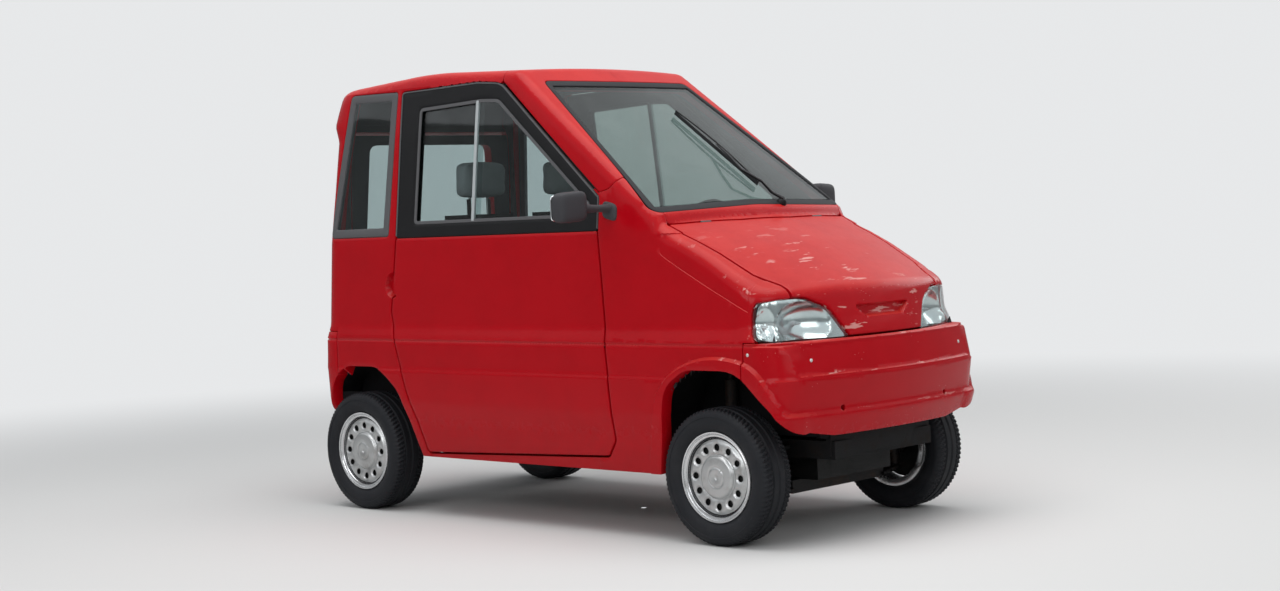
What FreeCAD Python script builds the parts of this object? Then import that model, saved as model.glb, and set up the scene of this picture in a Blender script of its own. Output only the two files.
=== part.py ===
import FreeCAD
import Part
import math
import os

os.makedirs("parts", exist_ok=True)
V = FreeCAD.Vector

# Frame: +X forward, +Y to the left, +Z up, ground at z = 0, millimetres.

# Driving sizes of the running gear
wheelbase = 1850.0
frame_shift = 14.0
rear_axle_x = -1010.0
front_axle_x = rear_axle_x + wheelbase
half_track = 475.0
tyre_r = 228.5
tyre_w = 140.0
rim_bead_r = 128.0
rim_lip_r = 151.0
cover_holes = 12
cover_hole_r = 108.0
kingpin_y = 430.0
stub_r = 18.0
running_fit = 0.05
face_gap = 0.3

# Driving sizes of the body
half_width = 545.0
wall = 45.0
shut_gap = 6.0
door_gap = 7.5
bonnet_gap = 8.5
glass_t = 5.0
glass_depth = 3.0
frame_t = 30.0
seal_t = 14.0
seal_w = 34.0
lamp_depth = 30.0
bowl_depth = 95.0
bumper_hole_y = 280.0
bumper_hole_z = 446.0
bumper_hole_r = 9.0
flare_t = 12.0
sill_z = 225.0
nose_foot_z = 671.0
roof_side_z = 1622.0
handle_x = -782.0
handle_z = 873.0
handle_r = 49.0
handle_floor_y = 516.0
tailgate_half_width = 425.0
tailgate_top_z = 1446.0
lid_gap = 15.0
tailgate_foot_z = 700.0
bumper_seam_x = 990.0
rear_bumper_seam_x = -1130.0
bumper_underside_z = 357.0
bonnet_back_x = 656.0
cowl_half_width = 466.0
cowl_z = 1030.0
arch_in_y = 385.0
front_arch_in_y = 285.0
liner_t = 6.0

# Driving sizes of the frame and the interior
rail_y = 240.0
rail_w = 50.0
rail_h = 60.0
rail_z = 270.0
floor_t = 12.0
floor_z = rail_z + rail_h
shelf_z = 600.0
tub_half = 470.0
bulkhead_x = -640.0
firewall_x = 560.0
seat_y = 228.0
seat_w = 400.0
steering_y = 225.0


def box(x0, x1, y0, y1, z0, z1):
    return Part.makeBox(x1 - x0, y1 - y0, z1 - z0, V(x0, y0, z0))


def rod(start, axis, radius, length):
    return Part.makeCylinder(radius, length, V(*start), V(*axis))


def mirrored(shape):
    return shape.mirror(V(0, 0, 0), V(0, 1, 0))


def solids_of(shape):
    solids = shape.Solids
    return solids[0] if len(solids) == 1 else Part.makeCompound(solids)


def joined(shapes):
    whole = shapes[0].multiFuse(shapes[1:]) if len(shapes) > 1 else shapes[0]
    return whole.removeSplitter()


def offset_points(points, inset):
    """Move each side of a closed outline inwards; a convex corner's radius shrinks by as much."""
    area = sum(a[0] * b[1] - b[0] * a[1] for a, b in zip(points, points[1:] + points[:1]))
    turn = 1.0 if area > 0 else -1.0
    moved = []
    for i, (u, v, r) in enumerate(points):
        pu, pv, _ = points[i - 1]
        nu, nv, _ = points[(i + 1) % len(points)]
        a = V(u - pu, v - pv, 0).normalize()
        b = V(nu - u, nv - v, 0).normalize()
        na = V(-a.y, a.x, 0) * turn
        cross = a.x * b.y - a.y * b.x
        nb = V(-b.y, b.x, 0) * turn
        along = (na + nb) * (1.0 / (1.0 + na.dot(nb)))
        corner = V(u, v, 0) + along * inset
        kept = r - inset if cross * turn > 0 else r + inset
        moved.append((corner.x, corner.y, max(kept, 2.0) if r else 0.0))
    return moved


def wire_of(points, place):
    """Closed wire of straight runs joined by tangent arcs; place turns (u, v) into a point."""
    edges = []
    ends = []
    for i, (u, v, r) in enumerate(points):
        corner = V(u, v, 0)
        before = V(points[i - 1][0], points[i - 1][1], 0)
        after = V(points[(i + 1) % len(points)][0], points[(i + 1) % len(points)][1], 0)
        a = (corner - before).normalize()
        b = (after - corner).normalize()
        half = 0.5 * math.acos(max(-1.0, min(1.0, a.dot(b))))
        if r <= 0.0 or half < 1e-6:
            ends.append((corner, corner, None))
            continue
        run = r * math.tan(half)
        inward = (b - a).normalize()
        middle = corner + inward * (r / math.cos(half) - r)
        ends.append((corner - a * run, corner + b * run, middle))
    for i, (start, stop, middle) in enumerate(ends):
        if middle is not None:
            edges.append(Part.Arc(place(start), place(middle), place(stop)).toShape())
        following = ends[(i + 1) % len(ends)][0]
        edges.append(Part.LineSegment(place(stop), place(following)).toShape())
    return Part.Wire(edges)


def prism_y(points, y0, y1):
    """Solid whose outline is drawn in X and Z, from y0 to y1."""
    wire = wire_of([p if len(p) == 3 else (p[0], p[1], 0.0) for p in points], lambda p: V(p.x, y0, p.y))
    return Part.Face(wire).extrude(V(0, y1 - y0, 0))


def prism_x(points, x0, x1):
    """Solid whose outline is drawn in Y and Z, from x0 to x1."""
    wire = wire_of([p if len(p) == 3 else (p[0], p[1], 0.0) for p in points], lambda p: V(x0, p.x, p.y))
    return Part.Face(wire).extrude(V(x1 - x0, 0, 0))


def prism_z(points, z0, z1):
    """Solid whose outline is drawn in X and Y, from z0 to z1."""
    wire = wire_of([p if len(p) == 3 else (p[0], p[1], 0.0) for p in points], lambda p: V(p.x, p.y, z0))
    return Part.Face(wire).extrude(V(0, 0, z1 - z0))


def both_sides(shape):
    return Part.makeCompound([shape, mirrored(shape)])


# Body form: plan outlines stacked by height
# columns: z, rear centre x, rear bow, half width, half width at the nose,
# front centre x, front bow, front corner radius
LEVELS = [
    (225.0, -1216.0, 14.0, 528.0, 524.0, 1176.0, 70.0, 80.0),
    (357.0, -1226.0, 14.0, 534.0, 530.0, 1184.0, 70.0, 80.0),
    (427.0, -1238.0, 14.0, 543.0, 540.0, 1208.0, 71.0, 88.0),
    (447.0, -1239.0, 14.0, 543.0, 540.0, 1198.0, 71.0, 84.0),
    (556.0, -1244.0, 14.0, 545.0, 542.0, 1216.0, 71.0, 90.0),
    (668.0, -1236.0, 14.0, 545.0, 542.0, 1192.0, 71.0, 90.0),
    (720.0, -1226.0, 14.0, 532.0, 528.0, 1190.0, 80.0, 150.0),
    (1040.0, -1208.0, 14.0, 522.0, 506.0, 1190.0, 80.0, 150.0),
    (1440.0, -1188.0, 14.0, 475.0, 460.0, 1190.0, 80.0, 90.0),
    (1502.0, -1216.0, 14.0, 467.0, 452.0, 1190.0, 80.0, 90.0),
    (1560.0, -1198.0, 14.0, 459.0, 444.0, 1190.0, 80.0, 90.0),
    (1700.0, -1146.0, 14.0, 441.0, 426.0, 1190.0, 80.0, 90.0),
]
REAR_CORNER_R = 60.0
TAPER_X = 250.0
TAPER_R = 1500.0
BOW_SHARE = 0.78

# Body form: long profile at the middle and at the sides
# columns: middle x, middle z, side x, side z, corner radius
PROFILE = [
    (1300.0, 120.0, 1300.0, 120.0, 0.0),
    (1300.0, nose_foot_z, 1300.0, nose_foot_z, 0.0),
    (1178.0, nose_foot_z, 1028.0, nose_foot_z, 0.0),
    (1136.0, 838.0, 1024.0, 822.0, 55.0),
    (850.0, 985.0, 820.0, 950.0, 700.0),
    (632.0, 1082.0, 602.0, 1062.0, 4.0),
    (622.0, 1108.0, 592.0, 1096.0, 4.0),
    (-108.0, 1655.0, -134.0, 1636.0, 60.0),
    (-620.0, 1680.0, -620.0, 1664.0, 2500.0),
    (-1340.0, 1640.0, -1340.0, 1618.0, 0.0),
    (-1340.0, 120.0, -1340.0, 120.0, 0.0),
]
PROFILE_HALF = 560.0


def bowed_end(x_centre, bow, half):
    """Corner and apex of an end whose two straight tangents carry one wide arc."""
    sign = 1.0 if x_centre > 0 else -1.0
    x_corner = x_centre - sign * bow
    x_apex = (x_centre - 0.5 * BOW_SHARE * x_corner) / (1.0 - 0.5 * BOW_SHARE)
    slope = math.atan2(abs(x_apex - x_corner), half)
    run = BOW_SHARE * math.hypot(x_apex - x_corner, half)
    return x_corner, x_apex, run / math.tan(slope)


def plan_outline(level, inset):
    z, x_rear, bow_rear, half, half_nose, x_front, bow_front, corner_r = level
    xc_rear, xa_rear, r_rear = bowed_end(x_rear, bow_rear, half)
    xc_front, xa_front, r_front = bowed_end(x_front, bow_front, half_nose)
    points = [
        (xa_rear, 0.0, r_rear),
        (xc_rear, -half, REAR_CORNER_R),
        (TAPER_X, -half, TAPER_R),
        (xc_front, -half_nose, corner_r),
        (xa_front, 0.0, r_front),
        (xc_front, half_nose, corner_r),
        (TAPER_X, half, TAPER_R),
        (xc_rear, half, REAR_CORNER_R),
    ]
    if inset:
        points = offset_points(points, inset)
    return wire_of(points, lambda p: V(p.x, p.y, z))


def body_form(inset):
    """The body's outer form, or the same form moved inwards by a wall."""
    levels = list(LEVELS)
    if inset > 2 * glass_t + glass_depth:
        levels[0] = (sill_z - 60.0,) + LEVELS[0][1:]
    stack = Part.makeLoft([plan_outline(level, inset) for level in levels], True, True)
    sections = []
    for side, y in ((1, -PROFILE_HALF), (0, 0.0), (1, PROFILE_HALF)):
        points = [(row[2], row[3], row[4]) if side else (row[0], row[1], row[4]) for row in PROFILE]
        if inset:
            points = offset_points(points, inset)
        sections.append(wire_of(points, lambda p: V(p.x, y, p.y)))
    return stack.common(Part.makeLoft(sections, True, False))


outer = body_form(0.0)
inner = body_form(wall)
shell = outer.cut(inner)
glass_form = body_form(glass_depth)
pane_form = glass_form.cut(body_form(glass_depth + glass_t))
inner_pane_form = body_form(glass_depth + 2 * glass_t).cut(body_form(glass_depth + 3 * glass_t))
frame_form = glass_form.cut(body_form(frame_t))
seal_form = outer.cut(body_form(seal_t))
lamp_back = body_form(lamp_depth)
bowl_form = body_form(glass_depth + 2 * glass_t).cut(body_form(bowl_depth))

# Outlines on the side of the body, seen along Y: x, z, corner radius
REAR_ARCH = [
    (-1300.0, 150.0, 0), (-1228.0, 340.0, 0), (-1150.0, 515.0, 110), (-1075.0, 560.0, 90),
    (-880.0, 560.0, 130), (-765.0, 470.0, 160), (-640.0, 205.0, 0), (-640.0, 150.0, 0),
]
FRONT_ARCH = [
    (597.0, 150.0, 0), (597.0, 205.0, 0), (640.0, 520.0, 110), (740.0, 582.0, 110),
    (960.0, 582.0, 160), (1090.0, 460.0, 200), (1170.0, 350.0, 0), (1300.0, 150.0, 0),
]
FLARE = [
    (547.0, 150.0, 0), (547.0, 259.0, 60), (571.0, 403.0, 80), (640.0, 545.0, 110), (800.0, 628.0, 150),
    (940.0, 628.0, 150), (1059.0, 572.0, 90), (1110.0, 500.0, 0), (1110.0, 150.0, 0),
]
DOOR_REAR = [
    (-759.0, 1052.0, 0), (-796.0, 769.0, 60), (-770.0, 655.0, 160), (-716.0, 481.0, 300), (-612.0, 243.0, 18),
]
DOOR_FRONT = [
    (348.0, 276.0, 18), (384.0, 330.0, 30), (366.0, 560.0, 300), (337.0, 894.0, 600), (322.0, 1052.0, 0),
]
WINDOW_FRAME = [
    (-759.0, 1052.0, 6), (-759.0, 1604.0, 14), (-330.0, 1611.0, 200), (-205.0, 1600.0, 90),
    (322.0, 1168.0, 8), (322.0, 1052.0, 6),
]
WINDOW_HOLE = [
    (-672.0, 1132.0, 20), (-668.0, 1542.0, 24), (-312.0, 1554.0, 60), (-212.0, 1550.0, 70),
    (286.0, 1150.0, 14), (270.0, 1132.0, 10),
]
QUARTER_HOLE = [(-1171.0, 1060.0, 22), (-1073.0, 1618.0, 26), (-788.0, 1612.0, 16), (-808.0, 1060.0, 16)]

# Wheel housings seen from the side, inside the skin: x, z, corner radius
housing_top_z = 590.0
FRONT_HOUSING = [
    (566.0, 150.0, 0), (566.0, 420.0, 60), (640.0, housing_top_z, 90), (970.0, housing_top_z, 90),
    (1112.0, 420.0, 60), (1112.0, 150.0, 0),
]
REAR_HOUSING = [
    (-1300.0, 150.0, 0), (-1232.0, 342.0, 0), (-1152.0, 520.0, 110), (-1078.0, 568.0, 90),
    (-878.0, 568.0, 130), (-760.0, 474.0, 160), (-634.0, 205.0, 0), (-634.0, 150.0, 0),
]

# Front view outlines: y, z, corner radius
LAMP = [
    (200.0, 660.0, 0), (207.0, 685.0, 20), (262.0, 772.0, 90), (352.0, 806.0, 90),
    (455.0, 796.0, 60), (508.0, 752.0, 40), (521.0, 712.0, 18), (513.0, 690.0, 14), (488.0, 660.0, 0),
]
SCREEN_HOLE = [
    (-502.0, 1106.0, 26), (-376.0, 1602.0, 30), (376.0, 1602.0, 30), (502.0, 1106.0, 26), (0.0, 1122.0, 900),
]
REAR_WINDOW = [(-352.0, 1020.0, 40), (-326.0, 1428.0, 40), (326.0, 1428.0, 40), (352.0, 1020.0, 40)]

# Plan outline of the bonnet: x, half width
BONNET_PLAN = [(620.0, 466.0), (960.0, 436.0), (1040.0, 392.0), (1300.0, 392.0)]

# Screen frame strip seen along Y, its lower end the seam with the front wings
SCREEN_STRIP = [
    (-190.0, 1760.0), (-190.0, 1626.0), (-186.0, 1606.0), (328.0, 1186.0), (372.0, 1196.0), (470.0, 1275.0),
    (-90.0, 1760.0),
]

door_outline = DOOR_REAR + DOOR_FRONT
rear_arch_prism = prism_y(REAR_ARCH, -620.0, -arch_in_y)
front_arch_prism = prism_y(FRONT_ARCH, -620.0, -front_arch_in_y)
flare_band = prism_y(FLARE, -620.0, -470.0)
steer_sweep = rod((front_axle_x, -kingpin_y, 150.0), (0, 0, 1), 264.0, 350.0)
steer_sweep = steer_sweep.common(box(0, 1300, -half_width + 14.0, 0, 150, 520))
arches = joined([rear_arch_prism, front_arch_prism, steer_sweep])

door_prism = prism_y(door_outline, -620.0, -440.0)
frame_prism = prism_y(WINDOW_FRAME, -620.0, -360.0)
window_hole = prism_y(WINDOW_HOLE, -620.0, -360.0)
door_space = prism_y(offset_points(door_outline, -door_gap), -620.0, -380.0)
window_space = prism_y(offset_points(WINDOW_FRAME, -door_gap), -620.0, -360.0)
quarter_hole = prism_y(QUARTER_HOLE, -620.0, -380.0)
quarter_pane = prism_y(offset_points(QUARTER_HOLE, seal_w), -620.0, -380.0)
lamp_prism = mirrored(prism_x(LAMP, 900.0, 1300.0).common(box(800, 1400, -100, 700, nose_foot_z, 900)))
screen_prism = prism_x(SCREEN_HOLE, -300.0, 760.0)
screen_pane = prism_x(offset_points(SCREEN_HOLE, 0.6 * seal_w), -300.0, 760.0)
rear_window_prism = prism_x(REAR_WINDOW, -1300.0, -1100.0)
tailgate_box = box(-1300, -1100, -tailgate_half_width, tailgate_half_width, tailgate_foot_z, tailgate_top_z)
tailgate_space = box(-1300, -1100, -tailgate_half_width - shut_gap, tailgate_half_width + shut_gap,
                     tailgate_foot_z - shut_gap, tailgate_top_z + lid_gap)
strip = prism_y(SCREEN_STRIP, -600.0, 600.0)
bonnet_side = [(x, -y, 0.0) for x, y in BONNET_PLAN]
bonnet_apex = (2 * bonnet_back_x - 620.0, 0.0, 2600.0)
bonnet_plan = [bonnet_apex] + bonnet_side + [(x, -y, r) for x, y, r in reversed(bonnet_side)]
bonnet_block = prism_z(bonnet_plan, nose_foot_z - 20.0, 1200.0)
bonnet_space = prism_z(offset_points(bonnet_plan, -bonnet_gap), nose_foot_z - 20.0, 1200.0)
cowl_block = box(540, 667, -cowl_half_width, cowl_half_width, cowl_z, 1200)
TAIL_LAMP = [(-508.0, 742.0, 16), (-446.0, 742.0, 16), (-440.0, 948.0, 16), (-496.0, 948.0, 16)]
tail_lamp_prism = prism_x(TAIL_LAMP, -1300.0, -1120.0)

parts = {}

# Hinges: a fixed pin between two ears, and a barrel with its arm between them
HINGE_SPAN = 60.0
HINGE_EAR = 12.0
HINGE_R = 5.0
HINGE_PIN_R = 3.0
HINGE_ARM = 48.0
HINGE_CLEAR = 8.0


def turned(shape, centre, axis, fixed_way):
    side = axis.cross(fixed_way)
    matrix = FreeCAD.Matrix(
        fixed_way.x, side.x, axis.x, centre.x,
        fixed_way.y, side.y, axis.y, centre.y,
        fixed_way.z, side.z, axis.z, centre.z,
        0, 0, 0, 1)
    return shape.transformed(matrix)


def hinge_pair(centre, axis, fixed_way, moving_arm, arm_top):
    """The fixed and the moving half of a hinge, the moving side's notch and the fixed side's groove."""
    half = 0.5 * HINGE_SPAN
    inner_half = half - HINGE_EAR
    arm_low = -HINGE_R - 3.0
    fixed = [rod((0, 0, -half), (0, 0, 1), HINGE_PIN_R, HINGE_SPAN)]
    for z in (-half, inner_half):
        fixed.append(rod((0, 0, z), (0, 0, 1), HINGE_R, HINGE_EAR))
        fixed.append(box(0, HINGE_ARM, arm_low, arm_top, z, z + HINGE_EAR))
    barrel_half = inner_half - face_gap
    barrel = rod((0, 0, -barrel_half), (0, 0, 1), HINGE_R, 2 * barrel_half)
    arm = box(-moving_arm, 0, -HINGE_R, arm_top, -barrel_half, barrel_half)
    bore = rod((0, 0, -half), (0, 0, 1), HINGE_PIN_R + running_fit, HINGE_SPAN)
    moving = joined([barrel, arm]).cut(bore)
    clear = HINGE_R + HINGE_CLEAR
    end = half + 3.0
    notch = box(-clear, clear + 21.0, arm_low - 30.0, clear, -end, end)
    groove = rod((0, 0, -end), (0, 0, 1), HINGE_R + 3.0, 2 * end)
    return [turned(shape, centre, axis, fixed_way) for shape in (joined(fixed), moving, notch, groove)]


DOOR_HINGE_X = 346.0
DOOR_HINGE_Y = 539.0
DOOR_HINGE_Z = (480.0, 625.0)
door_pins = [V(DOOR_HINGE_X, -DOOR_HINGE_Y, z) for z in DOOR_HINGE_Z]
door_hinges = [hinge_pair(pin, V(0, 0, 1), V(1, 0, 0), HINGE_ARM, HINGE_R) for pin in door_pins]
TAILGATE_HINGE_X = -1184.5
TAILGATE_HINGE_Z = tailgate_top_z + 4.0
TAILGATE_ARM = 20.0
tailgate_pins = [V(TAILGATE_HINGE_X, y, TAILGATE_HINGE_Z) for y in (-150.0, 150.0)]
tailgate_hinges = [hinge_pair(pin, V(0, 1, 0), V(0, 0, 1), TAILGATE_ARM, HINGE_R) for pin in tailgate_pins]
BONNET_HINGE_X = 634.0
BONNET_HINGE_Z = 1067.0
bonnet_slope = math.radians(24.0)
up_bonnet = V(-math.cos(bonnet_slope), 0, math.sin(bonnet_slope))
bonnet_pins = [V(BONNET_HINGE_X, y, BONNET_HINGE_Z) for y in (-300.0, 300.0)]
bonnet_hinges = [hinge_pair(pin, V(0, 1, 0), up_bonnet, HINGE_ARM, -1.0) for pin in bonnet_pins]

# Roof: crown panel with the visor lip over the tailgate
roof_zone = prism_y([(-1400, roof_side_z), (-190, roof_side_z), (-190, 1760), (-1400, 1760)], -600.0, 600.0)
visor_zone = box(-1400, -1100, -tailgate_half_width - shut_gap, tailgate_half_width + shut_gap,
                 tailgate_top_z + lid_gap, roof_side_z)
roof = shell.common(joined([roof_zone, visor_zone]))
parts["roof_panel"] = joined([roof] + [fixed for fixed, moving, notch, groove in tailgate_hinges])

# Screen frame: both pillars and the header, round the top of the screen
parts["screen_frame"] = shell.common(strip).cut(screen_prism).cut(window_space).cut(mirrored(window_space))

# Cowl: the strip between the screen's foot and the bonnet
cowl = shell.common(cowl_block).cut(screen_prism).cut(bonnet_space).cut(strip)
for fixed, moving, notch, groove in bonnet_hinges:
    cowl = joined([cowl.cut(groove), fixed])
parts["cowl_panel"] = cowl

# Bonnet: crowned lid that runs down between the lamps, with a recess in its nose
nose_recess = prism_x([(-150, 772, 6), (150, 772, 6), (92, 734, 8), (-92, 734, 8)], 1117.0, 1300.0)
bonnet = shell.common(bonnet_block).cut(box(0, 1400, -700, 700, 0, nose_foot_z + shut_gap))
lamp_gap = prism_x(offset_points(LAMP, -shut_gap), 900.0, 1300.0)
bonnet = bonnet.cut(both_sides(lamp_gap)).cut(nose_recess)
for fixed, moving, notch, groove in bonnet_hinges:
    bonnet = joined([bonnet.cut(notch), moving])
parts["bonnet"] = bonnet

# Front wings: from the door to the nose corner, open at the wheel arch
wing_zone = box(300, 1300, -700, 0, sill_z, 1300)
flare = body_form(-flare_t).cut(inner).common(flare_band)
side_shell = joined([shell.common(wing_zone).cut(flare_band), flare.common(wing_zone)])
wing = side_shell.cut(strip).cut(door_space).cut(window_space).cut(arches).cut(screen_prism)
wing = wing.cut(bonnet_space).cut(cowl_block).cut(lamp_prism)
wing = wing.cut(box(bumper_seam_x, 1400, -700, 10, 0, nose_foot_z)).cut(box(300, 1400, -380, 10, 0, 1300))
for fixed, moving, notch, groove in door_hinges:
    wing = joined([wing.cut(notch), fixed])
parts["front_wing_right"] = wing
parts["front_wing_left"] = mirrored(wing)

# Front bumper: wraps the corners back to the seams over the wheels
bumper_zone = box(bumper_seam_x, 1400, -700, 700, bumper_underside_z, nose_foot_z)
flare_ends = both_sides(flare.common(bumper_zone))
bumper = joined([shell.common(bumper_zone).cut(both_sides(flare_band))] + flare_ends.Solids)
bumper = bumper.cut(both_sides(arches))
for side in (-1, 1):
    bumper = bumper.cut(rod((1050, side * bumper_hole_y, bumper_hole_z), (1, 0, 0), bumper_hole_r, 300))
parts["front_bumper"] = bumper

# Rear quarter panels: pillars, side and arch, each in one piece
quarter_zone = box(-1400, -600, -700, 0, sill_z, roof_side_z)
quarter = shell.common(quarter_zone).cut(door_space).cut(window_space).cut(arches).cut(quarter_hole)
quarter = quarter.cut(tailgate_space).cut(visor_zone)
quarter = quarter.cut(box(-1400, rear_bumper_seam_x, -700, 10, 0, tailgate_foot_z - shut_gap))
quarter = quarter.cut(box(-1400, -600, -380, 10, 0, 1800)).cut(tail_lamp_prism.common(outer.cut(lamp_back)))
quarter = quarter.cut(rod((handle_x, -620.0, handle_z), (0, 1, 0), handle_r, 620.0 - handle_floor_y))
parts["quarter_panel_right"] = quarter
parts["quarter_panel_left"] = mirrored(quarter)

# Rear bumper: under the tailgate, round both corners
rear_zone = box(-1400, rear_bumper_seam_x, -700, 700, bumper_underside_z, tailgate_foot_z - shut_gap)
parts["rear_bumper"] = shell.common(rear_zone).cut(both_sides(arches))

# Tailgate: one deep panel with its window, hung under the visor
tailgate = shell.common(tailgate_box).cut(rear_window_prism)
for fixed, moving, notch, groove in tailgate_hinges:
    tailgate = joined([tailgate.cut(notch), moving])
parts["tailgate"] = tailgate
parts["tailgate_glass"] = pane_form.common(rear_window_prism)

# Doors: full-depth panel, dark window frame above it, two sliding panes
door = shell.common(door_prism)
for fixed, moving, notch, groove in door_hinges:
    door = joined([door.cut(notch), moving])
parts["door_right"] = door
parts["window_frame_right"] = frame_form.common(frame_prism).cut(window_hole)
front_pane = box(-330, 400, -700, 0, 1000, 1700)
rear_pane = box(-800, -300, -700, 0, 1000, 1700)
front_glass = pane_form.common(window_hole).common(front_pane)
rear_glass = inner_pane_form.common(window_hole).common(rear_pane)
parts["door_glass_right"] = Part.makeCompound([front_glass, rear_glass])
for name in ("door", "window_frame", "door_glass"):
    parts[name + "_left"] = mirrored(parts[name + "_right"])

# Fixed glass and its rubber seals
screen_zone = box(-200, 720, -600, 600, 1000, 1700)
screen_glass = pane_form.common(screen_pane).common(screen_zone)
quarter_glass = pane_form.common(quarter_pane)
parts["fixed_glass"] = Part.makeCompound([screen_glass, quarter_glass, mirrored(quarter_glass)])
screen_seal = seal_form.common(screen_prism.cut(screen_pane)).common(screen_zone)
quarter_seal = seal_form.common(quarter_hole.cut(quarter_pane))
parts["window_seals"] = Part.makeCompound([screen_seal, quarter_seal, mirrored(quarter_seal)])

# Lamps: clear lens over a bowl in front, red block behind
lens = pane_form.common(lamp_prism)
bowl = bowl_form.common(lamp_prism)
for y in (-300.0, -420.0):
    bowl = bowl.cut(Part.makeCone(22.0, 56.0, 90.0, V(1040 - abs(y + 300) * 0.45, y, 728), V(1, 0, 0)))
parts["headlamp_lenses"] = both_sides(lens)
parts["headlamp_bowls"] = both_sides(solids_of(bowl))
parts["tail_lamps"] = both_sides(outer.cut(lamp_back).common(tail_lamp_prism))

# Sills: the strip under each door and the box behind it
strip_zone = box(-600, 300, -700, -400, sill_z, 340)
sill = shell.common(strip_zone).cut(door_space).cut(box(-600, 300, -490, -400, 0, 400))
sill = joined([sill, box(-600, 300, -525, -400, sill_z, 236), box(-600, 540, -tub_half, -400, sill_z, floor_z)])
parts["side_sills"] = both_sides(sill)

# Chassis: two rails, cross members and upper arms
frame_bars = [
    box(-1170, 1130, -rail_y - rail_w / 2, -rail_y + rail_w / 2, rail_z, floor_z),
    box(-1170, 1130, rail_y - rail_w / 2, rail_y + rail_w / 2, rail_z, floor_z),
]
for x in (-1170.0, -620.0, -60.0, 500.0, 1090.0):
    frame_bars.append(box(x, x + 40, -rail_y, rail_y, rail_z, floor_z))
for x, reach in ((-600.0, 400.0), (460.0, 400.0)):
    frame_bars.append(box(x, x + 40, -reach, reach, rail_z, floor_z))
for x, half_bar in ((-1200.0, 360.0), (1100.0, 272.0)):
    frame_bars.append(box(x, x + 52, -half_bar, half_bar, rail_z + 10, 420).cut(shell))

# Floor tub: footwell, floor, step and luggage floor as one folded sheet
tub_line = [
    (firewall_x, 1000), (firewall_x, 480), (470, floor_z), (bulkhead_x, floor_z), (bulkhead_x, shelf_z),
    (-1188, shelf_z), (-1188, shelf_z + floor_t), (bulkhead_x + floor_t, shelf_z + floor_t),
    (bulkhead_x + floor_t, floor_z + floor_t), (470 - 5, floor_z + floor_t), (firewall_x - floor_t, 482),
    (firewall_x - floor_t, 1000),
]
tub = prism_y(tub_line, -tub_half, tub_half)
parts["floor_tub"] = tub.cut(shell)

# Wheel housings inside the arches
housings = []
for outline, arch_prism, in_y in ((FRONT_HOUSING, front_arch_prism, front_arch_in_y),
                                  (REAR_HOUSING, rear_arch_prism, arch_in_y)):
    well = prism_y(outline, -620.0, -in_y)
    jacket = prism_y(offset_points(outline, -liner_t), -530.0, -in_y + liner_t)
    inside = box(-1186, 1120, -half_width + wall, 0, 345, 700)
    housings.append(jacket.cut(well).common(inside).common(inner))
parts["wheel_housings"] = Part.makeCompound([h for one in housings for h in (one, mirrored(one))])

# Engine block with its drive shafts
block_half = 200.0
block = box(650, 1000, -block_half, block_half, 188, 640)
parts["engine_block"] = block.makeFillet(20.0, [edge for edge in block.Edges if edge.CenterOfMass.z > 630])
shaft_gap = 8.0
axle_z = tyre_r
knuckle_r = 20.0
shaft_out = kingpin_y - knuckle_r - shaft_gap
shaft = joined([
    rod((front_axle_x, -shaft_out, axle_z), (0, 1, 0), 11.0, shaft_out - block_half),
    Part.makeCone(26.0, 16.0, 50.0, V(front_axle_x, -shaft_out, axle_z), V(0, 1, 0)),
    Part.makeCone(16.0, 26.0, 40.0, V(front_axle_x, -block_half - 40.0, axle_z), V(0, 1, 0)),
])
parts["drive_shafts"] = both_sides(shaft)

# Front suspension: cross member, lower and upper arms, dampers
arm_t = 12.0
lower_z = 148.0
upper_z = 297.0
ball_r = 8.0


def wishbone(z, inner_y):
    outline = [
        (front_axle_x - 100, -inner_y, 0), (front_axle_x - 22, -kingpin_y - 14, 18),
        (front_axle_x + 22, -kingpin_y - 14, 18), (front_axle_x + 100, -inner_y, 0),
        (front_axle_x + 60, -inner_y, 0), (front_axle_x, -kingpin_y + 44, 16), (front_axle_x - 60, -inner_y, 0),
    ]
    arm = prism_z(outline, z, z + arm_t)
    return arm.cut(rod((front_axle_x, -kingpin_y, z - 5), (0, 0, 1), ball_r + running_fit, arm_t + 10))


damper_x = front_axle_x - 112.0
damper_y = 310.0
cross = box(front_axle_x - 90, front_axle_x + 90, -250, 250, lower_z - 4, 188)
seat_bar = box(damper_x - 22, front_axle_x + 70, -damper_y - 16, -240, lower_z, lower_z + arm_t)
damper = joined([
    rod((damper_x, -damper_y, lower_z + 2), (0, 0, 1), 16.0, 250.0),
    rod((damper_x, -damper_y, 400.0), (0, 0, 1), 9.0, housing_top_z - 400.0),
    rod((damper_x, -damper_y, 380.0), (0, 0, 1), 22.0, 150.0),
])
lower_arm = wishbone(lower_z, 240.0)
parts["front_suspension"] = joined([cross, seat_bar, mirrored(seat_bar), lower_arm, mirrored(lower_arm),
                                    damper, mirrored(damper)])
upper_arm = wishbone(upper_z, rail_y + rail_w / 2)
parts["chassis_frame"] = joined(frame_bars + [upper_arm, mirrored(upper_arm)])

# Steered knuckles: upright between the ball joints, stub axle and steering arm
ball_gap = 0.3
upright_low = lower_z + arm_t + ball_gap
upright = joined([
    rod((front_axle_x, -kingpin_y, upright_low), (0, 0, 1), knuckle_r, upper_z - ball_gap - upright_low),
    rod((front_axle_x, -kingpin_y, lower_z), (0, 0, 1), ball_r, upper_z + arm_t - lower_z),
    rod((front_axle_x, -kingpin_y, axle_z), (0, -1, 0), stub_r, 96.0),
    rod((front_axle_x, -kingpin_y, axle_z), (0, -1, 0), 34.0, 34.0),
    box(front_axle_x - 104, front_axle_x, -kingpin_y - 6, -kingpin_y + 18, 262, 274),
])
parts["knuckle_right"] = upright
parts["knuckle_left"] = mirrored(upright)

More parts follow.
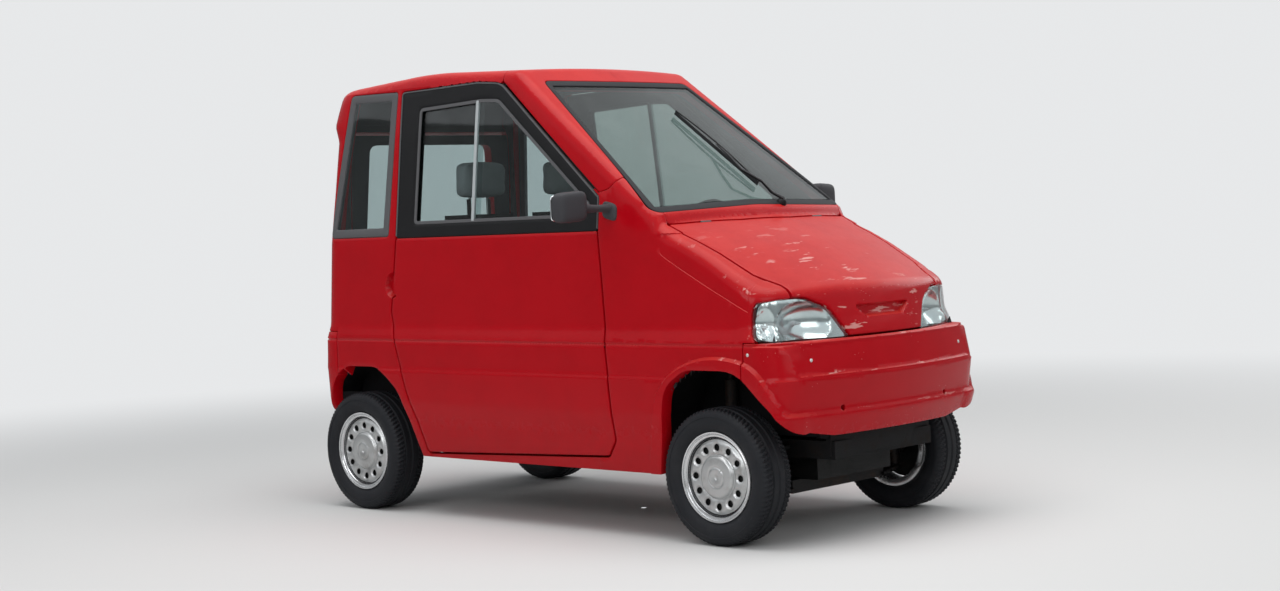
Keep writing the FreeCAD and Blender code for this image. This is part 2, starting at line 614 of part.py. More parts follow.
# Rear axle: cross tube, trailing arms, dampers and stubs
rear_beam = [rod((rear_axle_x, -378.0, axle_z), (0, 1, 0), 25.0, 756.0)]
for side in (-1, 1):
    rear_beam.append(rod((rear_axle_x, side * 370.0, axle_z), (0, side, 0), stub_r, 156.0))
    rear_beam.append(rod((rear_axle_x, side * 370.0, axle_z), (0, side, 0), 34.0, 94.0))
    rear_beam.append(box(rear_axle_x, -680, side * rail_y - 20, side * rail_y + 20, 208, 248))
    rear_beam.append(box(-740, -680, side * rail_y - 20, side * rail_y + 20, 208, rail_z))
    rear_beam.append(rod((rear_axle_x, side * 310.0, axle_z), (0, 0, 1), 16.0, 240.0))
    rear_beam.append(rod((rear_axle_x, side * 310.0, axle_z + 120), (0, 0, 1), 27.0, 150.0))
    rear_beam.append(rod((rear_axle_x, side * 310.0, axle_z + 200), (0, 0, 1), 9.0, shelf_z - axle_z - 200))
parts["rear_axle"] = joined(rear_beam)

# Wheels: tyre ring, and a rim with its pierced cover
half_w = tyre_w / 2
bead_half = 50.0
rim_t = 7.0
seat_r = rim_lip_r + 2.0
shoulder_r = 206.0
tread_half = 60.0
tyre_line = [
    (-bead_half, rim_bead_r, 0), (-bead_half, seat_r, 0), (-half_w, seat_r, 0), (-half_w, shoulder_r, 0),
    (-tread_half, tyre_r, 0), (tread_half, tyre_r, 0), (half_w, shoulder_r, 0), (half_w, seat_r, 0),
    (bead_half, seat_r, 0), (bead_half, rim_bead_r, 0),
]
rim_line = [
    (-bead_half - 6, rim_bead_r - rim_t, 0), (-bead_half - 6, rim_lip_r - 4, 0), (-bead_half, rim_lip_r - 4, 0),
    (-bead_half, rim_bead_r, 0), (bead_half, rim_bead_r, 0), (bead_half, rim_bead_r - rim_t, 0),
]
cover_face = 54.0
cover_t = 6.0
cap_r = 56.0
cap_face = 68.0
lip_face = 62.0
hub_back = 12.0
bore_r = stub_r + running_fit
cover_line = [
    (bore_r, hub_back, 0), (cap_r, hub_back, 0), (cap_r, cover_face - cover_t, 0),
    (rim_bead_r - rim_t, cover_face - cover_t, 0), (rim_bead_r - rim_t, bead_half, 0),
    (rim_lip_r, bead_half, 0),
    (rim_lip_r, lip_face, 0), (rim_lip_r - rim_t, lip_face, 0), (rim_lip_r - rim_t, cover_face, 0),
    (cap_r, cover_face, 0), (cap_r, cap_face, 0), (bore_r, cap_face, 0),
]
ring = wire_of(tyre_line, lambda p: V(p.y, p.x, 0))
tyre = Part.Face(ring).revolve(V(0, 0, 0), V(0, 1, 0), 360)
barrel_ring = Part.Face(wire_of(rim_line, lambda p: V(p.y, p.x, 0))).revolve(V(0, 0, 0), V(0, 1, 0), 360)
cover = Part.Face(wire_of(cover_line, lambda p: V(p.x, -p.y, 0))).revolve(V(0, 0, 0), V(0, 1, 0), 360)
rim = joined([barrel_ring, cover])
for k in range(cover_holes):
    turn = 360.0 * k / cover_holes
    slot = prism_y([(-9, cover_hole_r - 8), (0, cover_hole_r - 14), (9, cover_hole_r - 8),
                    (9, cover_hole_r + 8), (0, cover_hole_r + 14), (-9, cover_hole_r + 8)],
                   -cover_face - 2.0, -cover_face + cover_t + 2.0)
    slot.rotate(V(0, 0, 0), V(0, 1, 0), turn)
    rim = rim.cut(slot)
for place, x in (("front", front_axle_x), ("rear", rear_axle_x)):
    for side, sign in (("right", -1), ("left", 1)):
        for name, shape in (("tyre", tyre), ("rim", rim)):
            piece = shape if sign < 0 else mirrored(shape)
            piece = piece.copy()
            piece.translate(V(x, sign * half_track, tyre_r))
            parts[name + "_" + place + "_" + side] = piece

# Mirrors: head on a short arm from the wing
head_points = [(-740, 1088, 14), (-622, 1092, 14), (-618, 1186, 18), (-738, 1190, 18)]
mirror = joined([
    prism_x(head_points, 340.0, 392.0),
    rod((400, -480, 1132), (-0.19, -1, 0.03), 12.0, 160.0),
]).cut(outer)
parts["mirrors"] = both_sides(mirror)

# Interior: dash, column, steering wheel, seats
dash_back_x = firewall_x - floor_t
dash_line = [
    (dash_back_x, 1010, 0), (470, 1078, 40), (330, 1040, 50), (300, 900, 60), (400, 800, 40),
    (dash_back_x, 760, 0),
]
dash = prism_y(dash_line, -440.0, 440.0).cut(shell)
column_tilt = math.radians(28.0)
column_way = V(math.cos(column_tilt), 0, -math.sin(column_tilt))
wheel_centre = V(120, steering_y, 985)
tip = wheel_centre + column_way * 30.0
column = rod((tip.x, tip.y, tip.z), (column_way.x, 0, column_way.z), 24.0, 240.0)
bore = rod((tip.x, tip.y, tip.z), (column_way.x, 0, column_way.z), 8.0 + running_fit, 60.0)
parts["dashboard"] = joined([dash, column]).cut(bore)
grip = [(170 + 13 * math.cos(math.radians(a)), 13 * math.sin(math.radians(a)), 0.0) for a in range(30, 390, 60)]
hand_rim = Part.Face(wire_of(grip, lambda p: V(p.x, 0, p.y))).revolve(V(0, 0, 0), V(0, 0, 1), 360)
wheel_parts = [hand_rim, rod((0, 0, -26), (0, 0, 1), 34.0, 40.0), rod((0, 0, 14), (0, 0, 1), 8.0, 60.0)]
for angle in (0.0, 180.0, 270.0):
    spoke = box(20, 165, -14, 14, -10, -2)
    spoke.rotate(V(0, 0, 0), V(0, 0, 1), angle)
    wheel_parts.append(spoke)
steering = joined(wheel_parts)
across = V(0, 1, 0)
parts["steering_wheel"] = turned(steering, wheel_centre, column_way, across)

seat_top_z = 450.0
back_foot = V(-560, 0, seat_top_z)
back_head = V(-600, 0, 1130)
seat_base = [
    (-600, floor_z + floor_t, 0), (-160, floor_z + floor_t, 0), (-130, seat_top_z, 12),
    (back_foot.x, seat_top_z, 0),
    (back_head.x, back_head.z, 0), (back_head.x - 14, back_head.z, 0), (back_foot.x - 20, seat_top_z, 0),
]
low = seat_top_z + face_gap
cushion_line = [
    (back_foot.x + 16, low, 20), (-118, low, 20), (-105, 560, 40), (-300, 572, 200),
    (back_foot.x + 10, 548, 30),
]
back_top_z = back_head.z - face_gap
back_line = [
    (back_foot.x + face_gap - 6.5, 562, 10), (-470, 590, 40), (-450, 800, 300), (-500, back_top_z, 40),
    (back_head.x + face_gap, back_top_z, 10),
]
rest_z = 1190.0
rest_line = [(-556, rest_z, 20), (-546, 1330, 30), (-622, 1340, 30), (-628, rest_z, 12)]
post_x = back_head.x - 7.0
post_top = rest_z - face_gap
post_line = [(post_x - 5, 1120), (post_x + 5, 1120), (post_x + 5, post_top), (post_x - 5, post_top)]
bases, cushions, backs, rests = [], [], [], []
for side in (-1, 1):
    y0, y1 = side * seat_y - seat_w / 2, side * seat_y + seat_w / 2
    middle = side * seat_y
    posts = [prism_y(post_line, middle + shift - 7, middle + shift + 7) for shift in (-50, 50)]
    bases.append(joined([prism_y(seat_base, y0 + 30, y1 - 30)] + posts))
    cushions.append(prism_y(cushion_line, y0, y1))
    backs.append(prism_y(back_line, y0, y1))
    rests.append(prism_y(rest_line, y0 + 80, y1 - 80))
parts["seat_bases"] = Part.makeCompound(bases)
parts["seat_cushions"] = Part.makeCompound(cushions)
parts["seat_backs"] = Part.makeCompound(backs + rests)

# Wiper: pivot on the cowl, arm and blade just over the screen
parts["wiper"] = joined([
    rod((588, 147, 1090), (0.59, 0, 0.81), 16.0, 52.0),
    Part.makeCylinder(7.0, 250.0, V(612, 147, 1128), V(-0.64, -0.55, 0.53)),
]).cut(outer)

for name, shape in parts.items():
    print(name, len(shape.Solids), round(shape.Volume / 1e6, 2), shape.isValid())
    piece = solids_of(shape)
    piece.translate(V(frame_shift, 0, 0))
    piece.exportStep("parts/" + name + ".step")
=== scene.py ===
import math
import bmesh
import bpy
import numpy as np
from mathutils import Matrix, Vector
from mathutils.geometry import delaunay_2d_cdt


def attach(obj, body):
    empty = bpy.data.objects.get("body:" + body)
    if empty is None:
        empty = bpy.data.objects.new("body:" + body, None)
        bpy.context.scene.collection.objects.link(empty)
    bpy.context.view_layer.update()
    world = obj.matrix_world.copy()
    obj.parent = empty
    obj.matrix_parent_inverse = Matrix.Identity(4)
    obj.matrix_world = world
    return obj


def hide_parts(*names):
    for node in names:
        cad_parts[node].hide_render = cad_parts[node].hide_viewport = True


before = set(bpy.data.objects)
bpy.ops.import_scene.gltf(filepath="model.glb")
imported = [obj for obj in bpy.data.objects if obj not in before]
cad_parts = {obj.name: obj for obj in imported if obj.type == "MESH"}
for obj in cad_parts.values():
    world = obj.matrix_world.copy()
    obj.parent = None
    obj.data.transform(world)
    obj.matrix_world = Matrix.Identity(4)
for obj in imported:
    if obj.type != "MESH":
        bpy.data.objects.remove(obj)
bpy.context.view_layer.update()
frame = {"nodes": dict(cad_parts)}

scene = bpy.context.scene
nodes = frame["nodes"]

# Camera: the photograph's own place and roll, a short step from the car's front right
# corner, turned to the middle of the car with a lens that lets the car fill the frame.
camera_place = Vector((5.3858, -5.5387, 1.1063))
camera_target = Vector((0.03, 0.0, 0.80))
camera_roll = math.radians(-2.553)
ahead = (camera_target - camera_place).normalized()
level_right = ahead.cross(Vector((0, 0, 1))).normalized()
level_up = level_right.cross(ahead)
camera_right = level_right * math.cos(camera_roll) + level_up * math.sin(camera_roll)
camera_up = level_up * math.cos(camera_roll) - level_right * math.sin(camera_roll)
camera = bpy.data.objects.new("camera", bpy.data.cameras.new("camera"))
camera.data.sensor_width = 36.0
camera.data.lens = 58.0
camera.data.clip_start = 0.05
camera.matrix_world = Matrix((camera_right, camera_up, -ahead)).transposed().to_4x4()
camera.location = camera_place
scene.collection.objects.link(camera)
scene.camera = camera
scene.view_settings.view_transform = "Standard"


class Wire:
    """An output socket; + - * ** on it add Math nodes, also with the number on the left."""

    def __init__(self, finish, socket):
        self.finish = finish
        self.socket = socket

    def math(self, operation, *others):
        inputs = dict(enumerate((self,) + others))
        return self.finish.node("ShaderNodeMath", {"operation": operation}, inputs)

    def __add__(self, other):
        return self.math("ADD", other)

    def __sub__(self, other):
        return self.math("SUBTRACT", other)

    def __rsub__(self, other):
        return (self * -1.0) + other

    def __mul__(self, other):
        return self.math("MULTIPLY", other)

    def __pow__(self, other):
        return self.math("POWER", other)

    __radd__ = __add__
    __rmul__ = __mul__

    def step(self, low, high):
        """0 below low, 1 above high, smooth between; low above high turns it round."""
        if low > high:
            return 1.0 - self.step(high, low)
        settings = {"interpolation_type": "SMOOTHSTEP"}
        return self.finish.node("ShaderNodeMapRange", settings,
                                {"Value": self, "From Min": low, "From Max": high})


class Finish:
    """The node tree of a material, or of the world, with one way to add nodes and the textures that
    all finishes share."""

    def __init__(self, name, owner=None):
        self.material = owner or bpy.data.materials.new(name)
        self.material.use_nodes = True
        self.tree = self.material.node_tree
        self.tree.nodes.clear()
        self.place = self.node("ShaderNodeTexCoord", {}, {}, "Object")
        parts = self.node("ShaderNodeSeparateXYZ", {}, {"Vector": self.place}, None)
        self.x, self.y, self.z = (Wire(self, socket) for socket in parts.outputs)

    def node(self, kind, settings, inputs, out=0):
        made = self.tree.nodes.new(kind)
        for key, value in settings.items():
            setattr(made, key, value)
        for key, value in inputs.items():
            socket = made.inputs[key]
            if isinstance(value, Wire):
                self.tree.links.new(value.socket, socket)
            elif socket.type == "RGBA" and len(value) == 3:
                socket.default_value = (*value, 1.0)
            else:
                socket.default_value = value
        return made if out is None else Wire(self, made.outputs[out])

    def noise(self, scale, detail=3.0, rough=0.5, stretch=None):
        place = self.place
        if stretch:
            place = self.node("ShaderNodeVectorMath", {"operation": "MULTIPLY"}, {0: place, 1: stretch})
        inputs = {"Vector": place, "Scale": scale, "Detail": detail, "Roughness": rough}
        return self.node("ShaderNodeTexNoise", {}, inputs)

    def mixed(self, factor, first, second):
        """Colour that goes from first to second with the factor."""
        return self.node("ShaderNodeMix", {"data_type": "RGBA"}, {0: factor, 6: first, 7: second}, 2)

    def bump(self, height, strength, distance):
        return self.node("ShaderNodeBump", {}, {"Height": height, "Strength": strength, "Distance": distance})

    def surface(self, **inputs):
        """Principled shader on the output; sockets by their names with _ for the spaces."""
        named = {key.replace("_", " "): value for key, value in inputs.items()}
        shader = self.node("ShaderNodeBsdfPrincipled", {}, named)
        self.node("ShaderNodeOutputMaterial", {}, {"Surface": shader}, None)
        return self.material


# Studio: a pale floor that curves up into a pale wall, a pale sky seen by the camera and in
# reflections, and soft lamps above, in front and on both sides.
def revolved(profile, turns, origin=(0.0, 0.0, 0.0), axis=(0.0, 0.0, 1.0)):
    """Profile points (along, radius) carried round an axis: the origin + along * axis
    + radius * (cos t * first + sin t * second), where first and second lie square to the axis."""
    axis = np.array(axis, float) / np.linalg.norm(axis)
    helper = np.array((0.0, 0.0, 1.0)) if abs(axis[2]) < 0.9 else np.array((1.0, 0.0, 0.0))
    first = np.cross(axis, helper)
    first /= np.linalg.norm(first)
    second = np.cross(axis, first)
    angle = np.linspace(0.0, 2 * np.pi, turns, endpoint=False)[:, None, None]
    along, radius = (np.array(column)[None, :, None] for column in zip(*profile))
    points = np.array(origin) + along * axis + radius * (np.cos(angle) * first + np.sin(angle) * second)
    return points.reshape(-1, 3)


def grid_faces(rows, columns, close_rows=False, close_columns=False):
    """Quads between neighbours of a rows by columns grid of points."""
    i = np.arange(rows if close_rows else rows - 1)[:, None]
    j = np.arange(columns if close_columns else columns - 1)[None, :]
    up, right = (i + 1) % rows, (j + 1) % columns
    corners = [i * columns + j, i * columns + right, up * columns + right, up * columns + j]
    return np.stack(np.broadcast_arrays(*corners), axis=2).reshape(-1, 4)


def mesh_object(name, points, faces, materials, face_material=None, sharp=32.0):
    mesh = bpy.data.meshes.new(name)
    faces = faces.tolist() if isinstance(faces, np.ndarray) else faces
    mesh.from_pydata(np.asarray(points).tolist(), [], faces)
    for material in materials:
        mesh.materials.append(material)
    if face_material is not None:
        mesh.polygons.foreach_set("material_index", np.asarray(face_material, np.int32))
    mesh.shade_smooth()
    mesh.set_sharp_from_angle(angle=math.radians(sharp))
    mesh.update()
    made = bpy.data.objects.new(name, mesh)
    scene.collection.objects.link(made)
    return made


floor_finish = Finish("studio_floor")
rays = floor_finish.node("ShaderNodeLightPath", {}, {}, None)
floor_plain = floor_finish.node("ShaderNodeBsdfDiffuse", {}, {"Color": (0.70, 0.70, 0.69)})
floor_pale = floor_finish.node("ShaderNodeEmission", {}, {"Color": (0.80, 0.81, 0.82)})
far_out = (floor_finish.x * floor_finish.x + floor_finish.y * floor_finish.y).math("SQRT").step(2.6, 7.5)
through_glass = Wire(floor_finish, rays.outputs["Is Transmission Ray"])
seen = Wire(floor_finish, rays.outputs["Is Camera Ray"]).math("MAXIMUM", through_glass)
floor_seen = floor_finish.node("ShaderNodeMixShader", {}, {0: seen * far_out, 1: floor_plain, 2: floor_pale})
floor_finish.node("ShaderNodeOutputMaterial", {}, {"Surface": floor_seen}, None)
wall_turn = np.linspace(0.0, math.pi / 2, 12)
FLOOR_REACH = 12.0
WALL_ROUND = 5.0
FLOOR_TURNS = 64
floor_profile = [(0.0, 0.01), (0.0, 4.0), (0.0, 9.0)]
floor_profile += [(WALL_ROUND * (1.0 - math.cos(t)),
                   FLOOR_REACH + WALL_ROUND * math.sin(t)) for t in wall_turn]
floor_faces = grid_faces(FLOOR_TURNS, len(floor_profile), True)[:, ::-1]
floor = mesh_object("studio_floor", revolved(floor_profile, FLOOR_TURNS), floor_faces,
                    [floor_finish.material], sharp=80.0)

sky = Finish("studio_sky", bpy.data.worlds.new("studio_sky"))
sky_rays = sky.node("ShaderNodeLightPath", {}, {}, None)
sky_seen = Wire(sky, sky_rays.outputs["Is Camera Ray"])
for ray in ("Is Glossy Ray", "Is Transmission Ray"):
    sky_seen = sky_seen.math("MAXIMUM", Wire(sky, sky_rays.outputs[ray]))
sky_plain = sky.node("ShaderNodeBackground", {}, {"Color": (0.93, 0.96, 1.0), "Strength": 0.42})
sky_pale = sky.node("ShaderNodeBackground", {}, {"Color": (0.95, 0.97, 1.0), "Strength": 0.9})
sky_mix = sky.node("ShaderNodeMixShader", {}, {0: sky_seen, 1: sky_plain, 2: sky_pale})
sky.node("ShaderNodeOutputWorld", {}, {"Surface": sky_mix}, None)
scene.world = sky.material

# columns: name, place, aimed at, width, height, watts
lamps = (
    ("lamp_overhead", (0.5, -0.5, 5.5), (0.0, 0.0, 0.5), 6.0, 4.0, 235.0),
    ("lamp_front", (6.0, -2.0, 3.2), (0.6, 0.0, 0.8), 3.5, 2.5, 45.0),
    ("lamp_near_side", (1.6, -6.8, 3.4), (0.0, 0.0, 0.8), 5.0, 2.5, 95.0),
    ("lamp_far_side", (1.0, 6.0, 3.5), (0.0, 0.0, 1.0), 4.0, 2.5, 60.0),
)
for name, place, aim, width, height, watts in lamps:
    light = bpy.data.lights.new(name, "AREA")
    light.shape = "RECTANGLE"
    light.size, light.size_y, light.energy = width, height, watts
    lamp = bpy.data.objects.new(name, light)
    way = Vector(aim) - Vector(place)
    lamp.matrix_world = Matrix.Translation(place) @ way.to_track_quat("-Z", "Y").to_matrix().to_4x4()
    scene.collection.objects.link(lamp)


# Body skin: the form that every painted panel, pane and seal is cut from. Its field is negative
# inside; plan outlines by height meet the crowned long profile, both in millimetres from an
# origin 14 mm behind the frame's.
DRAWN_SHIFT = 0.014
# columns: z, rear centre x, rear bow, half width, half width at the nose, front centre x, front bow,
# front corner radius
LEVELS = np.array([
    (225, -1216, 14, 528, 524, 1176, 70, 80), (357, -1226, 14, 534, 530, 1184, 70, 80),
    (427, -1238, 14, 543, 540, 1208, 71, 88), (447, -1239, 14, 543, 540, 1198, 71, 84),
    (556, -1244, 14, 545, 542, 1216, 71, 90), (668, -1236, 14, 545, 542, 1192, 71, 90),
    (720, -1226, 14, 532, 528, 1190, 80, 150), (1040, -1208, 14, 522, 506, 1190, 80, 150),
    (1440, -1188, 14, 475, 460, 1190, 80, 90), (1502, -1216, 14, 467, 452, 1190, 80, 90),
    (1560, -1198, 14, 459, 444, 1190, 80, 90), (1700, -1146, 14, 441, 426, 1190, 80, 90),
]) / 1000.0
# columns: middle x, middle z, side x, side z
PROFILE = np.array([
    (1178, 671, 1028, 671), (1136, 838, 1024, 822), (850, 985, 820, 950), (632, 1082, 602, 1062),
    (622, 1108, 592, 1096), (-108, 1655, -134, 1636), (-620, 1680, -620, 1664), (-1340, 1640, -1340, 1618),
]) / 1000.0
PROFILE_HALF = 0.56
TAPER_X = 0.264
REAR_ROUND = 0.066
LEVEL_STEP = 0.001
level_z = np.arange(0.1, 1.8, LEVEL_STEP)
level_table = sum(
    np.stack([np.interp(level_z + shift, LEVELS[:, 0], LEVELS[:, k]) for k in range(1, 8)], axis=1)
    for shift in (-0.004, 0.0, 0.004)
) / 3.0
level_table[:, 0] += DRAWN_SHIFT
level_table[:, 4] += DRAWN_SHIFT


def rounded_max(a, b, k):
    """The larger of two fields, with their meeting rounded over a width of k."""
    return np.maximum(a, b) + np.maximum(k - np.abs(a - b), 0.0) ** 2 / (4.0 * k)


def smooth(t):
    t = np.clip(t, 0.0, 1.0)
    return t * t * (3.0 - 2.0 * t)


def signed(outline, u, v):
    """Distance from each point (u, v) to a closed outline, negative inside it."""
    shape = np.shape(u)
    u, v = np.ravel(u), np.ravel(v)
    result = np.empty(len(u))
    a = np.asarray(outline)
    b = np.roll(a, -1, axis=0)
    edge = b - a
    length2 = np.maximum((edge ** 2).sum(axis=1), 1e-12)
    for start in range(0, len(u), 20000):
        pu, pv = u[start:start + 20000, None], v[start:start + 20000, None]
        du, dv = pu - a[:, 0], pv - a[:, 1]
        t = np.clip((du * edge[:, 0] + dv * edge[:, 1]) / length2, 0.0, 1.0)
        distance = np.hypot(du - t * edge[:, 0], dv - t * edge[:, 1]).min(axis=1)
        crosses = (a[:, 1] > pv) != (b[:, 1] > pv)
        rise = np.where(edge[:, 1] == 0, 1e-12, edge[:, 1])
        inside = (crosses & (pu < a[:, 0] + edge[:, 0] * dv / rise)).sum(axis=1) % 2 == 1
        result[start:start + 20000] = np.where(inside, -distance, distance)
    return result.reshape(shape)


def drawn(points, shift=DRAWN_SHIFT):
    """Outline in metres from corners (u, v, radius) in millimetres, its corners as tangent arcs."""
    line = []
    for i, corner in enumerate(points):
        at = np.array(corner[:2], float)
        radius = corner[2] if len(corner) > 2 else 0.0
        before, after = np.array(points[i - 1][:2], float), np.array(points[(i + 1) % len(points)][:2], float)
        a, b = (at - before) / np.linalg.norm(at - before), (after - at) / np.linalg.norm(after - at)
        turn = math.acos(max(-1.0, min(1.0, float(a @ b))))
        if radius <= 0.0 or turn < 1e-3:
            line.append(at)
            continue
        run = radius * math.tan(turn / 2)
        start, stop = at - a * run, at + b * run
        count = max(3, int(math.degrees(turn) / 9))
        for t in np.linspace(0.0, 1.0, count + 1):
            line.append((1 - t) ** 2 * start + 2 * t * (1 - t) * at + t ** 2 * stop)
    line = np.array(line) / 1000.0
    line[:, 0] += shift
    return line


FLARE = drawn([
    (547, 150), (547, 259, 150), (571, 403, 250), (594, 489, 195), (640, 551, 188), (718, 597, 355),
    (818, 624, 390), (906, 624, 390), (999, 609, 178), (1059, 572, 180), (1108, 498, 120), (1141, 440, 22),
    (1300, 434), (1300, 150),
])
WING_CREASE = drawn([
    (570, 1034), (576, 1000), (634, 956), (715, 912), (836, 850), (961, 790), (1000, 770), (1000, 1034),
])
CORNER_HOOK = drawn([
    (1300, 700), (1030, 700), (1062, 667, 30), (1118, 658, 40), (1148, 622, 40), (1158, 560, 4), (1300, 557),
])
# place x, z and radius
HANDLE_SCOOP = (-0.768, 0.873, 0.049)
NOSE_Z = 0.671
LOW_CREASE_Z = 0.554
LEDGE_Z = 0.664
LEDGE_HALF = 0.0055
NOSE_RECESS = drawn([(-150, 772, 8), (150, 772, 8), (96, 734, 10), (-96, 734, 10)], 0.0)
# metres that the features stand out of the sides or lie in them
FLARE_RISE = 0.014
WING_HOLLOW = 0.0026
HOOK_DEPTH = 0.0045
LOW_RISE = 0.0035
LEDGE_DEPTH = 0.0035
RECESS_DEPTH = 0.017
SCOOP_DEPTH = 0.021
SIDES_FROM = 0.40


def skin(p):
    """Field of the outer skin at points p, negative inside: plan stack met by the long profile,
    less the raised and hollow features of its sides."""
    x, y, z = p[..., 0], np.abs(p[..., 1]), p[..., 2]
    row = np.clip((z - level_z[0]) / LEVEL_STEP, 0, len(level_z) - 2)
    low = row.astype(int)
    share = (row - low)[..., None]
    rear_x, rear_bow, half, nose_half, front_x, front_bow, corner = np.moveaxis(
        level_table[low] * (1 - share) + level_table[low + 1] * share, -1, 0)
    taper = np.clip((x - TAPER_X) / (front_x - front_bow - TAPER_X), 0.0, 1.2)
    width = half + (nose_half - half) * taper
    side = y - width
    share2 = (y / half) ** 2
    front = (x - (front_x - front_bow * share2)) * 0.98
    rear = (rear_x + rear_bow * share2) - x
    stack = rounded_max(rounded_max(side, front, 1.1 * corner), rear, REAR_ROUND)

    q = np.minimum((y / PROFILE_HALF) ** 2, 1.3)[..., None]
    px = PROFILE[:, 0] * (1 - q) + PROFILE[:, 2] * q + DRAWN_SHIFT
    pz = PROFILE[:, 1] * (1 - q) + PROFILE[:, 3] * q
    ex, ez = np.diff(px, axis=-1), np.diff(pz, axis=-1)
    length = np.hypot(ex, ez)
    lines = ((z[..., None] - pz[..., :-1]) * -ex + (x[..., None] - px[..., :-1]) * ez) / length
    nose, bonnet_a, bonnet_b, step, screen, roof_a, roof_b = np.moveaxis(lines, -1, 0)
    roof = rounded_max(roof_a, roof_b, 0.0137)
    bonnet_top = rounded_max(rounded_max(nose, bonnet_a, 0.022), np.maximum(bonnet_a, bonnet_b), 0.001)
    low_body = np.maximum(bonnet_top, roof)
    cab = rounded_max(rounded_max(screen, roof, 0.0105), step, 0.004)
    top = np.minimum(np.minimum(low_body, cab), z - NOSE_Z)
    body = rounded_max(stack, top, 0.014 + 0.026 * smooth((z - 0.69) / 0.05))

    raised = np.zeros_like(x)
    at_side = (y > SIDES_FROM) & (x > 0.5)
    if at_side.any():
        sx, sz = x[at_side], z[at_side]
        outward = smooth((y[at_side] - SIDES_FROM) / 0.05)
        flare = FLARE_RISE * smooth((0.004 - signed(FLARE, sx, sz)) / 0.010) * smooth((1.215 - sx) / 0.06)
        d = signed(WING_CREASE, sx, sz)
        hollow = WING_HOLLOW * smooth((0.0012 - d) / 0.0024) * smooth((0.034 + d) / 0.030)
        hollow *= smooth((sx - 0.60) / 0.05)
        raised[at_side] = (flare - hollow) * outward
    at_bumper = (x > 0.98) & (z > 0.54) & (z < 0.69)
    if at_bumper.any():
        hook = smooth((0.001 - signed(CORNER_HOOK, x[at_bumper], z[at_bumper])) / 0.005)
        raised[at_bumper] -= HOOK_DEPTH * hook * smooth((NOSE_Z - 0.003 - z[at_bumper]) / 0.012)
    at_edge = smooth((y - SIDES_FROM) / 0.05)
    low = LOW_RISE * smooth((LOW_CREASE_Z - z) / 0.006) * np.maximum(at_edge, smooth((x - 1.0) / 0.05))
    low = low * smooth((x + 1.14) / 0.04)
    raised += np.maximum(low - np.maximum(raised, 0.0), 0.0)
    ledge_cut = np.maximum(1.0 - np.abs(z - LEDGE_Z) / LEDGE_HALF, 0.0)
    raised -= LEDGE_DEPTH * ledge_cut * at_edge * smooth((1.168 - x) / 0.03)
    at_nose = (x > 1.05) & (y < 0.2) & (z > 0.70)
    if at_nose.any():
        recess = signed(NOSE_RECESS, p[..., 1][at_nose], z[at_nose])
        raised[at_nose] -= RECESS_DEPTH * smooth((0.003 - recess) / 0.009)
    scoop = np.hypot(x - HANDLE_SCOOP[0], z - HANDLE_SCOOP[1]) - HANDLE_SCOOP[2]
    raised -= SCOOP_DEPTH * smooth((0.001 - scoop) / 0.012) * (x < HANDLE_SCOOP[0] + 0.001)
    return body - raised


# Charts: each panel is worked out on a flat sheet (u, v) that rays carry out to the skin, either
# along one direction or as a star from a point inside the body.
class Flat:
    """Rays along one direction from a plane through a point inside the body."""

    def __init__(self, origin, way):
        self.way = np.array(way, float) / np.linalg.norm(way)
        side = np.cross(self.way, (0.0, 0.0, 1.0)) if abs(self.way[2]) < 0.99 else np.array((0.0, 1.0, 0.0))
        self.u = side / np.linalg.norm(side)
        self.v = np.cross(self.u, self.way)
        self.origin = np.array(origin, float)
        self.reach = ((-1.7, 1.7), (-1.7, 1.7))

    def rays(self, u, v):
        start = self.origin + u[..., None] * self.u + v[..., None] * self.v
        return start, np.broadcast_to(self.way, start.shape)


class Star:
    """Rays in all directions from a point, u its heading and v its height angle, times half a metre;
    a lying star starts from straight up and has its poles on the left and right."""

    def __init__(self, origin, heading=0.0, lying=False):
        self.origin = np.array(origin, float)
        self.heading = math.radians(heading)
        self.lying = lying
        self.reach = ((-1.57, 1.57), (-0.72, 0.75))

    def rays(self, u, v):
        heading, rise = u / 0.5 + self.heading, v / 0.5
        way = np.stack([np.cos(heading) * np.cos(rise), np.sin(heading) * np.cos(rise), np.sin(rise)],
                       axis=-1)
        if self.lying:
            way = way[..., (1, 2, 0)]
        return np.broadcast_to(self.origin, way.shape), way


class Round(Star):
    """Level rays round an upright axis, u the heading times half a metre and v the height."""

    def __init__(self, origin, heading=0.0):
        super().__init__(origin, heading)
        self.reach = ((-1.57, 1.57), (0.0, 1.75))

    def rays(self, u, v):
        heading = u / 0.5 + self.heading
        way = np.stack([np.cos(heading), np.sin(heading), np.zeros_like(u)], axis=-1)
        start = np.stack([np.full_like(u, self.origin[0]), np.full_like(u, self.origin[1]), v], axis=-1)
        return start, way


class Dish:
    """A round dish facing -Y on an axle: u and v are metres from the axle, and its height out from
    the wheel's middle plane is read from a profile of (radius, height)."""

    def __init__(self, centre, profile):
        self.centre = np.array(centre, float)
        self.profile = np.array(profile, float)
        self.radius = self.profile[-1, 0] + 0.02
        self.reach = ((-self.radius, self.radius), (-self.radius, self.radius))

    def height(self, r):
        soft = (-0.0012, -0.0006, 0.0, 0.0006, 0.0012)
        return sum(np.interp(r + shift, *self.profile.T) for shift in soft) / len(soft)

    def points(self, u, v):
        r = np.hypot(u, v)
        return self.centre + np.stack([u, -self.height(r), v], axis=-1)

    def normals(self, p):
        u, v = p[..., 0] - self.centre[0], p[..., 2] - self.centre[2]
        r = np.maximum(np.hypot(u, v), 1e-6)
        slope = (self.height(r + 0.0005) - self.height(r - 0.0005)) / 0.001
        n = np.stack([-slope * u / r, -np.ones_like(r), -slope * v / r], axis=-1)
        return n / np.linalg.norm(n, axis=-1, keepdims=True)


